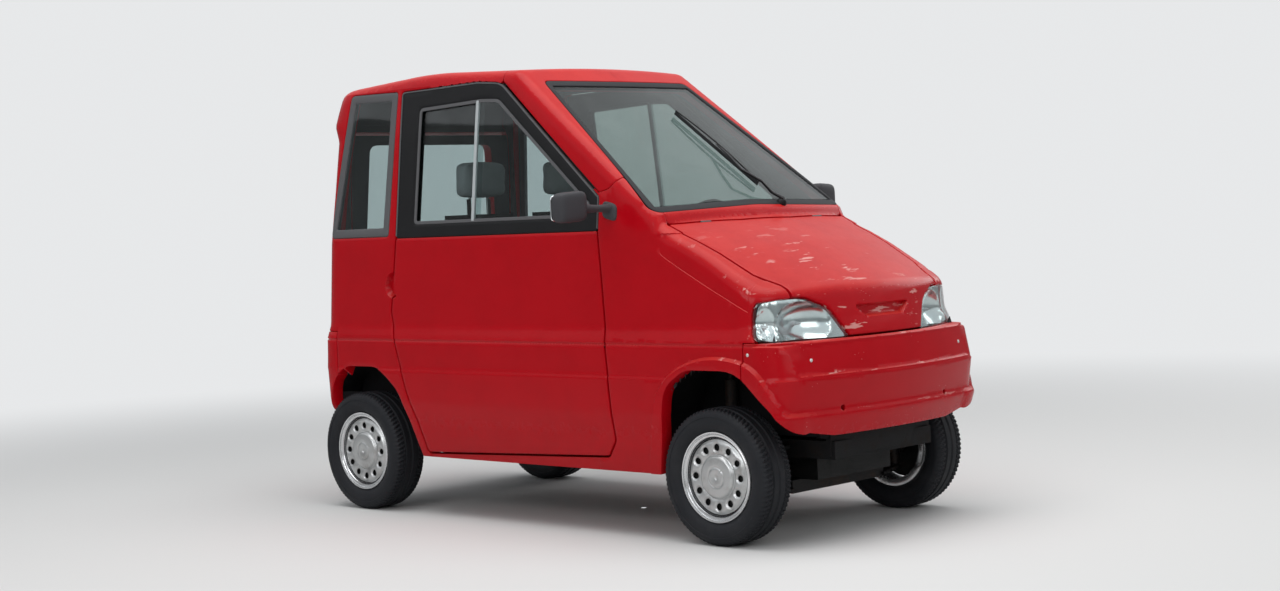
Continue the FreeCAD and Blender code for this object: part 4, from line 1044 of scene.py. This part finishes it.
def closed_object(name, points, faces, material, body, sharp=40.0, node=None):
    """Mesh with its doubles merged and its faces turned outwards, on a body."""
    made = mesh_object(name, points, faces, [material], sharp=sharp)
    tidy = bmesh.new()
    tidy.from_mesh(made.data)
    bmesh.ops.remove_doubles(tidy, verts=tidy.verts, dist=1e-5)
    bmesh.ops.recalc_face_normals(tidy, faces=tidy.faces)
    tidy.to_mesh(made.data)
    tidy.free()
    return fitted(made, body, node)


def turned_piece(name, origin, axis, profile, material, body, turns=48):
    """A lathe shape: profile points (along, radius) carried round the axis through the origin."""
    faces = grid_faces(turns, len(profile), True)
    closed_object(name, revolved(profile, turns, origin, axis), faces, material, body, 32.0)


bulb_glass = plain_finish("bulb_glass", (0.75, 0.78, 0.80), 0.15)
for side_name, sign in (("right", 1), ("left", -1)):
    for k, (y, z, _, _, deep) in enumerate(REFLECTORS):
        depth_x = 1.170 - 0.55 * (abs(y) - 0.28) - deep
        turned_piece(f"lamp_bulb_{side_name}_{k + 1}", (depth_x - 0.022, sign * y, z), (1, 0, 0),
                     [(0.0, 0.0), (0.0, 0.008), (0.012, 0.008), (0.014, 0.005), (0.030, 0.005),
                      (0.034, 0.003), (0.035, 0.0)], bulb_glass, "body", 20)

# Tail lamps: red ribbed lens blocks on the rear corners.
def red_lens_finish():
    lens = Finish("red_lamp_lens")
    ribs = (lens.z * 900.0).math("SINE")
    colour = lens.mixed(ribs * 0.5 + 0.5, (0.22, 0.002, 0.003), (0.36, 0.004, 0.005))
    return lens.surface(Base_Color=colour, Roughness=0.16 + lens.noise(20.0) * 0.08, Coat_Weight=0.25,
                        IOR=1.36, Normal=lens.bump(ribs, 0.35, 0.0012))


def coat(finish, *names):
    """Gives every material slot of the named solids one finish."""
    for name in names:
        slots = nodes[name].data.materials
        for k in range(len(slots)):
            slots[k] = finish


coat(red_lens_finish(), "tail_lamps")

# Tyres: narrow black radials; the crown has three grooves and shoulder cuts, the side a raised band
# and fine rings, left bare of lettering.
def tyre_finish():
    tyre = Finish("tyre_rubber")
    dust = tyre.noise(7.0, 5.0, 0.65)
    fine = tyre.noise(220.0, 2.0, 0.6)
    colour = tyre.mixed(dust.step(0.42, 0.85) * 0.5 + (fine - 0.5) * 0.2, (0.007, 0.008, 0.011),
                        (0.026, 0.026, 0.028))
    return tyre.surface(Base_Color=colour, Roughness=0.74 + (fine - 0.5) * 0.25 - dust * 0.10, IOR=1.38,
                        Normal=tyre.bump(fine, 0.25, 0.0015))


tyre_rubber = tyre_finish()
AXLE_Z = 0.2285
WHEEL_X = (0.854, -0.996)
HALF_TRACK = 0.475
# columns: height out from the middle plane, radius
TYRE_LINE = np.array([
    (-0.048, 0.129), (-0.052, 0.152), (-0.060, 0.158), (-0.067, 0.170), (-0.0695, 0.182), (-0.0700, 0.190),
    (-0.0690, 0.199), (-0.0705, 0.200), (-0.0700, 0.206), (-0.0665, 0.216), (-0.0600, 0.2245),
    (-0.0500, 0.2275), (-0.0330, 0.2283), (0.0, 0.2285), (0.0330, 0.2283), (0.0500, 0.2275), (0.0600, 0.2245),
    (0.0665, 0.216), (0.0700, 0.206), (0.0705, 0.200), (0.0690, 0.199), (0.0700, 0.190), (0.0695, 0.182),
    (0.067, 0.170), (0.060, 0.158), (0.052, 0.152), (0.048, 0.129),
])
TREAD_GROOVES = (-0.030, 0.0, 0.030)
GROOVE_HALF = 0.0042
GROOVE_DEPTH = 0.0055
CUT_DEPTH = 0.0050
TREAD_TURNS = 336


def tyre_points(centre):
    """Profile carried round the axle; the crown sinks in round grooves and in shoulder cuts, which
    repeat every 4 steps of the turn and lean with the width."""
    along = np.concatenate([[0.0], np.cumsum(np.hypot(*np.diff(TYRE_LINE, axis=0).T))])
    fine = np.unique(np.concatenate([along, np.linspace(along[10], along[16], 43)]))
    out = np.interp(fine, along, TYRE_LINE[:, 0])
    radius = np.interp(fine, along, TYRE_LINE[:, 1])
    turn = np.arange(TREAD_TURNS)
    crown = smooth((0.0655 - np.abs(out)) / 0.004) * (radius > 0.2)
    rings = np.max([smooth((GROOVE_HALF - np.abs(out - g)) / 0.0022) for g in TREAD_GROOVES], axis=0)
    rings = rings * GROOVE_DEPTH
    lean = np.round(np.abs(out) / 0.0105)
    cuts = (((turn[:, None] + lean[None, :]) % 4) < 2) * smooth((np.abs(out) - 0.030) / 0.004) * CUT_DEPTH
    depth = crown * np.maximum(rings[None, :], cuts)
    r = radius[None, :] - depth
    angle = turn[:, None] * 2 * np.pi / TREAD_TURNS
    points = np.stack([r * np.cos(angle), np.broadcast_to(-out, r.shape), r * np.sin(angle)], axis=-1)
    return (points + np.array(centre)).reshape(-1, 3), len(fine)


# Wheels: pressed steel rim with a bright double lip, and a silver cover with twelve oval holes in
# dimples round a domed cap.
def wheel_finish(name, colour, dark, rough):
    silver = Finish(name)
    grime = silver.noise(16.0, 5.0, 0.65)
    flake = silver.noise(900.0, 1.0, 0.5)
    shade = silver.mixed(grime.step(0.45, 0.85) * 0.7, colour, dark)
    return silver.surface(Base_Color=shade, Metallic=0.88 - grime.step(0.5, 0.9) * 0.3,
                          Roughness=rough + grime * 0.14, Normal=silver.bump(flake, 0.05, 0.0005))


wheel_silver = wheel_finish("silver_wheel_cover", (0.50, 0.51, 0.51), (0.20, 0.18, 0.16), 0.26)
rim_bright = wheel_finish("bright_rim_lip", (0.68, 0.69, 0.70), (0.34, 0.32, 0.30), 0.18)
# Wheel centre behind the cover: a near-black disc whose colour is painted shade of the hollow inside the
# wheel, seen through the cover's holes.
hub_painted_shade = plain_finish("wheel_hub_painted_shade", (0.018, 0.018, 0.018), 0.7)
HOLES = 12
HOLE_RING = 0.0985
HOLE_SIZE = (0.0112, 0.0122)
DIMPLE_DEPTH = 0.0050
DIMPLE_REACH = 0.0070
COVER_RADIUS = 0.1245
COVER_LINE = [
    (0.0, 0.0540), (0.0055, 0.0540), (0.0075, 0.0580), (0.029, 0.0600), (0.0335, 0.0565), (0.038, 0.0590),
    (0.064, 0.0575), (0.0695, 0.0550), (0.0720, 0.0470), (0.0745, 0.0465), (0.082, 0.0500), (0.098, 0.0520),
    (0.110, 0.0520), (0.118, 0.0490), (0.1225, 0.0430), (0.126, 0.0430),
]


def oval_field(p_u, p_v):
    """Distance to the nearest of the ring of ovals: their size times the share of it less 1."""
    angle = np.arctan2(p_v, p_u)
    sector = 2 * np.pi / HOLES
    local = (angle + 0.5 * sector) % sector - 0.5 * sector
    r = np.hypot(p_u, p_v)
    across, out = r * np.sin(local), r * np.cos(local) - HOLE_RING
    return (np.hypot(across / HOLE_SIZE[0], out / HOLE_SIZE[1]) - 1.0) * min(HOLE_SIZE)


class Cover(Dish):
    """The cover's dish, sunk in a dimple round each hole."""

    def points(self, u, v):
        p = super().points(u, v)
        p[..., 1] += DIMPLE_DEPTH * smooth(1.0 - oval_field(u, v) / DIMPLE_REACH)
        return p

    def normals(self, p):
        return np.broadcast_to(np.array((0.0, -1.0, 0.0)), p.shape)


def wheel_sheet():
    """The cover's disc less its holes, with rows of points along its profile and round the holes."""
    ring = lambda p: np.hypot(p[..., 0], p[..., 2])
    ovals = lambda p: oval_field(p[..., 0], p[..., 2])
    disc = lambda p: ring(p) - COVER_RADIUS
    rows = [(ring, r) for r, _ in COVER_LINE[1:-1]] + [(ovals, d) for d in (0.0015, 0.004, DIMPLE_REACH)]
    chart = Cover((0.0, 0.0, 0.0), COVER_LINE)
    return sheet_of(chart, within(disc, outside_of(ovals)), rows=rows, step=0.0024, coarse=0.006, edge=0.0)


cover_points, cover_faces, _ = thick(wheel_sheet(), 0.0022)
RIM_LINE = [
    (-0.0560, 0.1210), (-0.0560, 0.1470), (-0.0520, 0.1500), (-0.0500, 0.1480), (-0.0500, 0.1290),
    (0.0480, 0.1290), (0.0500, 0.1500), (0.0560, 0.1518), (0.0595, 0.1500), (0.0590, 0.1462),
    (0.0535, 0.1448), (0.0520, 0.1430), (0.0545, 0.1395), (0.0535, 0.1350), (0.0480, 0.1330),
    (0.0440, 0.1290), (0.0300, 0.1262), (-0.0540, 0.1200),
]
HUB_LINE = [
    (0.018, 0.018), (0.018, 0.100), (0.022, 0.1205), (0.030, 0.1205), (0.034, 0.100), (0.034, 0.018),
    (0.018, 0.018),
]
for place, wheel_x in zip(("front", "rear"), WHEEL_X):
    for side_name, sign in (("right", 1), ("left", -1)):
        wheel = f"{place}_{side_name}"
        centre = (wheel_x, -HALF_TRACK, AXLE_Z)
        body = "wheel_" + wheel
        points, columns = tyre_points(centre)
        faces = grid_faces(TREAD_TURNS, columns, True, True)
        if sign > 0:
            faces = faces[:, ::-1]
        tyre = mesh_object("tyre_tread_" + wheel, points * (1, sign, 1), faces, [tyre_rubber], sharp=40.0)
        fitted(tyre, body, "tyre_" + wheel)
        shown = (cover_points + np.array(centre)) * (1, sign, 1)
        flipped = cover_faces if sign > 0 else [face[::-1] for face in cover_faces]
        cover = mesh_object("wheel_cover_" + wheel, shown, flipped, [wheel_silver], sharp=PANEL_SHARP)
        fitted(cover, body, "rim_" + wheel)
        hub_place, outward = (wheel_x, -sign * HALF_TRACK, AXLE_Z), (0, -sign, 0)
        turned_piece("wheel_rim_" + wheel, hub_place, outward, RIM_LINE + RIM_LINE[:1], rim_bright, body,
                     96)
        # Hub disc behind the cover, near-black as painted shade of the wheel's hollow.
        turned_piece("wheel_hub_" + wheel, hub_place, outward, HUB_LINE, hub_painted_shade, body)


# Mirrors: dark grey moulded head on a short arm from a triangular foot at the window's corner, with
# the silvered glass on its rear face.
def rounded_block(low, high, round_share, columns=28, rows=16):
    """Closed superellipsoid: a box with sides eased by powers of sine and cosine."""
    low, high = np.array(low, float), np.array(high, float)
    centre, half = (low + high) / 2, (high - low) / 2
    turn = np.linspace(-np.pi, np.pi, columns, endpoint=False)[None, :]
    rise = np.linspace(-np.pi / 2, np.pi / 2, rows)[:, None]
    power = lambda c: np.sign(c) * np.abs(c) ** round_share
    points = np.stack(np.broadcast_arrays(power(np.cos(rise)) * power(np.cos(turn)),
                                          power(np.cos(rise)) * power(np.sin(turn)), power(np.sin(rise))),
                                          axis=-1)
    return (centre + points * half).reshape(-1, 3), grid_faces(rows, columns, False, True)


def mirror_finish():
    silver = Finish("mirror_glass")
    colour = silver.mixed(silver.noise(8.0).step(0.4, 0.9) * 0.3, (0.80, 0.83, 0.84), (0.60, 0.62, 0.62))
    return silver.surface(Base_Color=colour, Metallic=1.0, Roughness=0.04 + silver.noise(30.0) * 0.05)


mirror_silver = mirror_finish()
arm_line = [(t * 0.150, 0.0125 + 0.010 * (2 * t - 1.0) ** 2) for t in np.linspace(0.0, 1.0, 9)]
for side_name, sign in (("right", 1), ("left", -1)):
    # columns: piece, low corner, high corner, roundness, finish, replaced node
    for piece, low, high, share, finish, node in (
        ("head", (0.350, -0.738, 1.086), (0.410, -0.620, 1.190), 0.42, trim_plastic,
         "mirrors" if sign > 0 else None),
        ("glass", (0.3425, -0.731, 1.093), (0.3505, -0.627, 1.183), 0.3, mirror_silver, None),
        ("foot", (0.362, -0.522, 1.098), (0.432, -0.496, 1.158), 0.55, trim_plastic, None),
    ):
        points, faces = rounded_block(low, high, share)
        if piece == "foot":
            points[:, 2] -= (points[:, 0] - 0.362) * 0.25
            points[:, 1] += (points[:, 2] - 1.098) * 0.12
        else:
            points[:, 2] += (points[:, 1] + 0.68) * 0.06
            points[:, 0] += (points[:, 1] + 0.62) * 0.10
        closed_object(f"mirror_{piece}_{side_name}", points * (1, sign, 1), faces, finish, "body",
                      node=node)
    turned_piece("mirror_arm_" + side_name, (0.400, -sign * 0.490, 1.128), (-0.12, -sign, 0.02),
                 [(0.0, 0.0)] + arm_line + [(0.151, 0.0)], trim_plastic, "body", 24)


def capped(rings, first, last):
    """Points and faces of rings joined by quads, closed by fans on a first and a last point."""
    count, n = rings.shape[:2]
    faces = grid_faces(count, n, False, True).tolist()
    faces += [[count * n, (i + 1) % n, i] for i in range(n)]
    faces += [[count * n + 1, (count - 1) * n + i, (count - 1) * n + (i + 1) % n] for i in range(n)]
    return np.concatenate([rings.reshape(-1, 3), [first, last]]), faces


# Wiper: one black arm from a round pivot on the cowl, bent over the screen's foot, and a long blade
# of a pressed back and a rubber lip.
def swept(path, widths, heights, up):
    """Rounded rectangle carried along a path; width lies across the path, height along up."""
    path, up = np.array(path, float), np.array(up, float)
    way = np.gradient(path, axis=0)
    way /= np.linalg.norm(way, axis=1, keepdims=True)
    across = np.cross(way, up)
    across /= np.linalg.norm(across, axis=1, keepdims=True)
    normal = np.cross(across, way)
    turn = np.linspace(0.0, 2 * np.pi, 12, endpoint=False)
    cx, cy = (np.sign(wave) * np.abs(wave) ** 0.5 for wave in (np.cos(turn), np.sin(turn)))
    sideways = 0.5 * np.array(widths)[:, None, None] * cx[None, :, None] * across[:, None, :]
    rings = (path[:, None, :] + sideways
             + 0.5 * np.array(heights)[:, None, None] * cy[None, :, None] * normal[:, None, :])
    return capped(rings, path[0], path[-1])


screen_normal = np.array((0.6, 0.0, 0.8))


def on_screen(y, z, lift):
    """Point of the screen at a place of the front view, lifted off along its normal."""
    p, _ = cast(Flat((-0.2, y, z), (1, 0, 0)), np.zeros(1), np.zeros(1), 0.0)
    return p[0] + screen_normal * lift


pivot = on_screen(0.147, 1.122, 0.004)
turned_piece("wiper_pivot", pivot + (-0.006, 0.0, -0.008), screen_normal,
             [(0.0, 0.0), (0.0, 0.019), (0.012, 0.018), (0.020, 0.013), (0.024, 0.009), (0.025, 0.0)],
             frame_black, "body", 28)
elbow = on_screen(0.050, 1.215, 0.040)
tip = on_screen(0.100, 1.325, 0.024)
arm_path = np.array([pivot + screen_normal * 0.014, pivot + (-0.026, -0.022, 0.036),
                     (pivot + elbow) / 2 + (0, 0, 0.016), elbow, (elbow + tip) / 2 + (0, 0, 0.004), tip])
arm_path = np.stack([np.interp(np.linspace(0, 5, 26), np.arange(6), arm_path[:, k]) for k in range(3)],
                    axis=1)
points, faces = swept(arm_path, np.linspace(0.017, 0.009, 26), np.linspace(0.010, 0.005, 26), screen_normal)
closed_object("wiper_arm", points, faces, frame_black, "body", node="wiper")
shares = np.linspace(0.0, 1.0, 30)
blade_y, blade_z = 0.112 + (0.094 - 0.112) * shares, 1.186 + (1.466 - 1.186) * shares
blade_bow = 0.010 * (1.0 - (2.0 * shares - 1.0) ** 2)
for name, lift, width, height, finish in (
    ("wiper_blade_back", 0.018 + blade_bow, 0.009, 0.005, frame_black),
    ("wiper_blade_lip", np.full(30, 0.009), 0.004, 0.013, rubber),
):
    line = [on_screen(*place) for place in zip(blade_y, blade_z, lift)]
    points, faces = swept(line, np.full(30, width), np.full(30, height), screen_normal)
    closed_object(name, points, faces, finish, "body")


# Hinge barrels of the tailgate and the bonnet, steel pins across the body.
hinge_steel = plain_finish("grey_hinge_steel", (0.10, 0.10, 0.105), 0.45, 0.3, 300.0, metallic=0.6)
BARREL_LINE = [(0.0, 0.0), (0.0, 0.004), (0.001, 0.005), (0.049, 0.005), (0.050, 0.004), (0.050, 0.0)]
for lid, hinge_x, hinge_y, hinge_z in (("tailgate", -1.1705, 0.150, 1.450), ("bonnet", 0.648, 0.300, 1.067)):
    for side_name, sign in (("right", -1), ("left", 1)):
        barrel_place = (hinge_x, sign * hinge_y - 0.5 * BARREL_LINE[-1][0], hinge_z)
        turned_piece(f"{lid}_hinge_{side_name}", barrel_place, (0, 1, 0), BARREL_LINE, hinge_steel, "body",
                     20)

# Sills: painted boxes under the doors, dull and stained by the road.
coat(paint, "side_sills")

# Screws: pale round heads that hold the bumper to the wing on both sides.
screw_steel = plain_finish("pale_screw_steel", (0.62, 0.62, 0.60), 0.35, 0.2, 500.0, metallic=0.8)
SCREW_HEAD = [(0.0, 0.0), (0.0, 0.0062), (0.0022, 0.0058), (0.0036, 0.0035), (0.0040, 0.0)]
# columns: a point inside the body, the way out to the skin
SCREW_PLACES = (((1.023, -0.30, 0.635), (0, -1, 0)), ((0.90, -0.406, 0.610), (1, 0, 0)))
for k, (inside, way) in enumerate(SCREW_PLACES):
    seat, _ = cast(Flat(inside, way), np.zeros(1), np.zeros(1), 0.0)
    out = normals_at(seat)[0]
    for side_name, mirror in (("right", (1, 1, 1)), ("left", (1, -1, 1))):
        turned_piece(f"bumper_screw_{side_name}_{k + 1}", (seat[0] - out * 0.001) * mirror, out * mirror,
                     SCREW_HEAD, screw_steel, "body", 20)

# Underside: welded frame, seat bases, suspension arms and axle in black paint gone to rust and oil,
# plastic wheel housings, and the engine as one oily block.
def grimy_finish(name, colour, stain, rough, metallic=0.0):
    """Dark part with stained patches and a gritty bump."""
    made = Finish(name)
    patches = made.noise(9.0, 6.0, 0.7)
    grit = made.noise(180.0, 3.0, 0.6)
    stained = (patches + (grit - 0.5) * 0.3).step(0.48, 0.72)
    shade = made.mixed(stained * 0.8, colour, stain)
    return made.surface(Base_Color=shade, Roughness=rough + stained * 0.2 + (grit - 0.5) * 0.15, IOR=1.32,
                        Metallic=(1.0 - stained) * metallic,
                        Normal=made.bump(grit + patches * 0.5, 0.35, 0.002))


frame_paint = grimy_finish("frame_paint_with_rust", (0.004, 0.004, 0.0045), (0.014, 0.008, 0.005), 0.70)
oily_iron = grimy_finish("oily_engine_iron", (0.010, 0.010, 0.010), (0.003, 0.003, 0.003), 0.50, 0.3)
rusty_steel = grimy_finish("rusty_arm_steel", (0.016, 0.015, 0.015), (0.040, 0.020, 0.011), 0.50, 0.6)
housing_plastic = grimy_finish("housing_plastic", (0.003, 0.003, 0.004), (0.009, 0.008, 0.007), 0.85)
tub_coating = grimy_finish("floor_tub_coating", (0.012, 0.012, 0.013), (0.028, 0.025, 0.022), 0.80)
coat(frame_paint, "chassis_frame", "rear_axle", "seat_bases")
coat(oily_iron, "engine_block")
coat(rusty_steel, "drive_shafts", "front_suspension", "knuckle_right", "knuckle_left")
coat(housing_plastic, "wheel_housings")
coat(tub_coating, "floor_tub")

# Cabin fittings: soft black dashboard and steering wheel.
dash_plastic = plain_finish("dash_grained_plastic", (0.016, 0.016, 0.018), 0.62, 0.7, 320.0,
                            (0.035, 0.035, 0.037))
grip_plastic = plain_finish("steering_wheel_plastic", (0.012, 0.012, 0.013), 0.48, 0.4, 500.0,
                            (0.03, 0.03, 0.03))
coat(dash_plastic, "dashboard")
coat(grip_plastic, "steering_wheel")


# Seats: two narrow buckets in grey woven cloth over foam, each a cushion, a back and a head rest on
# two bright posts; the panels meet in sewn channels.
def cloth_finish(name, colour, pale, pitch=0.0024):
    """Plain weave: threads run along y and along x or z and pass over each other in turn."""
    made = Finish(name)
    rate = 2 * math.pi / pitch
    warp = (made.y * rate).math("SINE")
    weft = ((made.x + made.z) * rate).math("SINE")
    weave = warp * weft * 0.5 + 0.5
    worn = made.noise(7.0, 4.0, 0.6)
    fibre = made.noise(900.0, 2.0, 0.6)
    shade = made.mixed(weave * 0.35 + worn.step(0.35, 0.8) * 0.4 + (fibre - 0.5) * 0.4, colour, pale)
    return made.surface(Base_Color=shade, Roughness=0.86 + (fibre - 0.5) * 0.2, Sheen_Weight=0.25,
                        Normal=made.bump(weave + fibre * 0.4, 0.5, 0.0006))


seat_cloth = cloth_finish("grey_seat_cloth", (0.29, 0.30, 0.31), (0.46, 0.47, 0.48))
SEAT_Y = 0.228
SEAT_WIDTH = 0.400
PAD_SHRINK = 0.008
PAD_VOXEL = 0.010
PAD_SWELL_CAP = 0.012
SWELL_FRAMES = 20
SWELL_PRESSURE = 4.0
CHANNEL_WIDTH = CHANNEL_DEPTH = 0.0045
CUSHION_SIDE = [(-544, 450, 12), (-118, 450, 22), (-105, 560, 34), (-300, 572, 400), (-550, 548, 26)]
BACK_SIDE = [(-566, 562, 22), (-470, 590, 30), (-450, 800, 300), (-500, 1130, 34), (-600, 1130, 26)]
HEAD_SIDE = [(-556, 1190, 22), (-546, 1330, 26), (-622, 1340, 22), (-628, 1190, 22)]


def pad_mesh(outline, half, crown):
    """Side outline carried across the seat: shrunk towards its middle by crown times
    1 - sqrt(1 - u squared) over the last crown of each side, and closed by a point at both ends."""
    line = drawn(outline)
    middle = (line.max(axis=0) + line.min(axis=0)) / 2
    size = np.hypot(*(line - middle).T)[:, None]
    inner_half = half - crown
    turn = np.linspace(0.0, np.pi / 2, 7)
    across = np.concatenate([-inner_half - crown * np.cos(turn[:-1]),
                             np.linspace(-inner_half, inner_half, 21), inner_half + crown * np.sin(turn[1:])])
    over = np.clip((np.abs(across) - inner_half) / crown, 0.0, 1.0)
    inset = PAD_SHRINK + crown * (1.0 - np.sqrt(np.maximum(1.0 - over ** 2, 0.0)))
    across *= (half - PAD_SHRINK) / half
    rings = middle + (line - middle)[None, :, :] * (1.0 - inset[:, None, None] / size[None, :, :])
    y = np.broadcast_to(across[:, None], rings.shape[:2])
    rings = np.stack([rings[..., 0], y, rings[..., 1]], axis=-1)
    return capped(rings, (middle[0], across[0], middle[1]), (middle[0], across[-1], middle[1]))


def channel_depth(p, along, centre_y, half_width, lines):
    """Depth of the sewn channels: narrow valleys beside the middle panel and across it."""
    inwards = half_width - np.abs(p[:, 1] - centre_y)
    valley = np.exp(-(inwards / CHANNEL_WIDTH) ** 2)
    for at in lines:
        valley = np.maximum(valley,
                            smooth(inwards / 0.006) * np.exp(-((p[:, along] - at) / CHANNEL_WIDTH) ** 2))
    return CHANNEL_DEPTH * valley


POST_LINE = [(0.0, 0.0), (0.0, 0.005), (0.105, 0.005), (0.105, 0.0)]
# columns: part, side outline, half width, crown, axis across its channels, half width of its middle panel,
# places of the channels, replaced node
PADS = (
    ("cushion", CUSHION_SIDE, SEAT_WIDTH / 2, 0.045, 0, 0.125, (-0.40, -0.28, -0.16), "seat_cushions"),
    ("back", BACK_SIDE, SEAT_WIDTH / 2, 0.045, 2, 0.120, (0.72, 0.85, 0.98), "seat_backs"),
    ("head_rest", HEAD_SIDE, 0.120, 0.032, 2, 0.30, (), None),
)
pads = []
for side_name, sign in (("right", -1), ("left", 1)):
    for part, outline, half, crown, along, panel_half, lines, node in PADS:
        points, faces = pad_mesh(outline, half, crown)
        points[:, 1] += sign * SEAT_Y
        pad = closed_object(f"seat_{part}_{side_name}", points, faces, seat_cloth, "body",
                            node=node if sign < 0 else None)
        pads.append((pad, sign * SEAT_Y, along, panel_half, lines))
    for k, post_y in enumerate((-0.045, 0.045)):
        turned_piece(f"head_rest_post_{side_name}_{k + 1}", (-0.593, sign * SEAT_Y + post_y, 1.105),
                     (0, 0, 1), POST_LINE, screw_steel, "body", 16)


def keep_modified(pad):
    """Makes the mesh that the pad's modifiers give its own, and takes the modifiers off."""
    made = bpy.data.meshes.new_from_object(pad.evaluated_get(bpy.context.evaluated_depsgraph_get()))
    pad.modifiers.clear()
    pad.data = made
    return made


def numbers(items, key):
    """An (n, 3) array of one vector value of each item."""
    values = np.empty(len(items) * 3)
    items.foreach_get(key, values)
    return values.reshape(-1, 3)


for pad, *_ in pads:
    fine = pad.modifiers.new("skin", "REMESH")
    fine.mode = "VOXEL"
    fine.voxel_size = PAD_VOXEL
    keep_modified(pad)
for pad, *_ in pads:
    cloth = pad.modifiers.new("swell", "CLOTH")
    cloth.settings.use_pressure = True
    cloth.settings.uniform_pressure_force = SWELL_PRESSURE
    cloth.settings.effector_weights.gravity = 0.0
    cloth.settings.tension_stiffness = 25.0
    cloth.settings.quality = 4
    cloth.point_cache.frame_start, cloth.point_cache.frame_end = 1, SWELL_FRAMES
for frame_number in range(1, SWELL_FRAMES + 1):
    scene.frame_set(frame_number)
for pad, centre_y, along, panel_half, lines in pads:
    place = numbers(pad.data.vertices, "co")
    swollen = pad.evaluated_get(bpy.context.evaluated_depsgraph_get()).data
    move = numbers(swollen.vertices, "co") - place
    length = np.maximum(np.linalg.norm(move, axis=1, keepdims=True), 1e-9)
    place += move * np.minimum(length, PAD_SWELL_CAP) / length
    pad.modifiers.clear()
    pad.data.vertices.foreach_set("co", place.ravel())
    pad.data.update()
    finer = pad.modifiers.new("finer", "SUBSURF")
    finer.levels = finer.render_levels = 1
    mesh = keep_modified(pad)
    place = numbers(mesh.vertices, "co")
    place -= numbers(mesh.vertex_normals, "vector") * channel_depth(place, along, centre_y, panel_half,
                                                                    lines)[:, None]
    mesh.vertices.foreach_set("co", place.ravel())
    mesh.materials.clear()
    mesh.materials.append(seat_cloth)
    mesh.shade_smooth()
    mesh.update()
scene.frame_set(1)
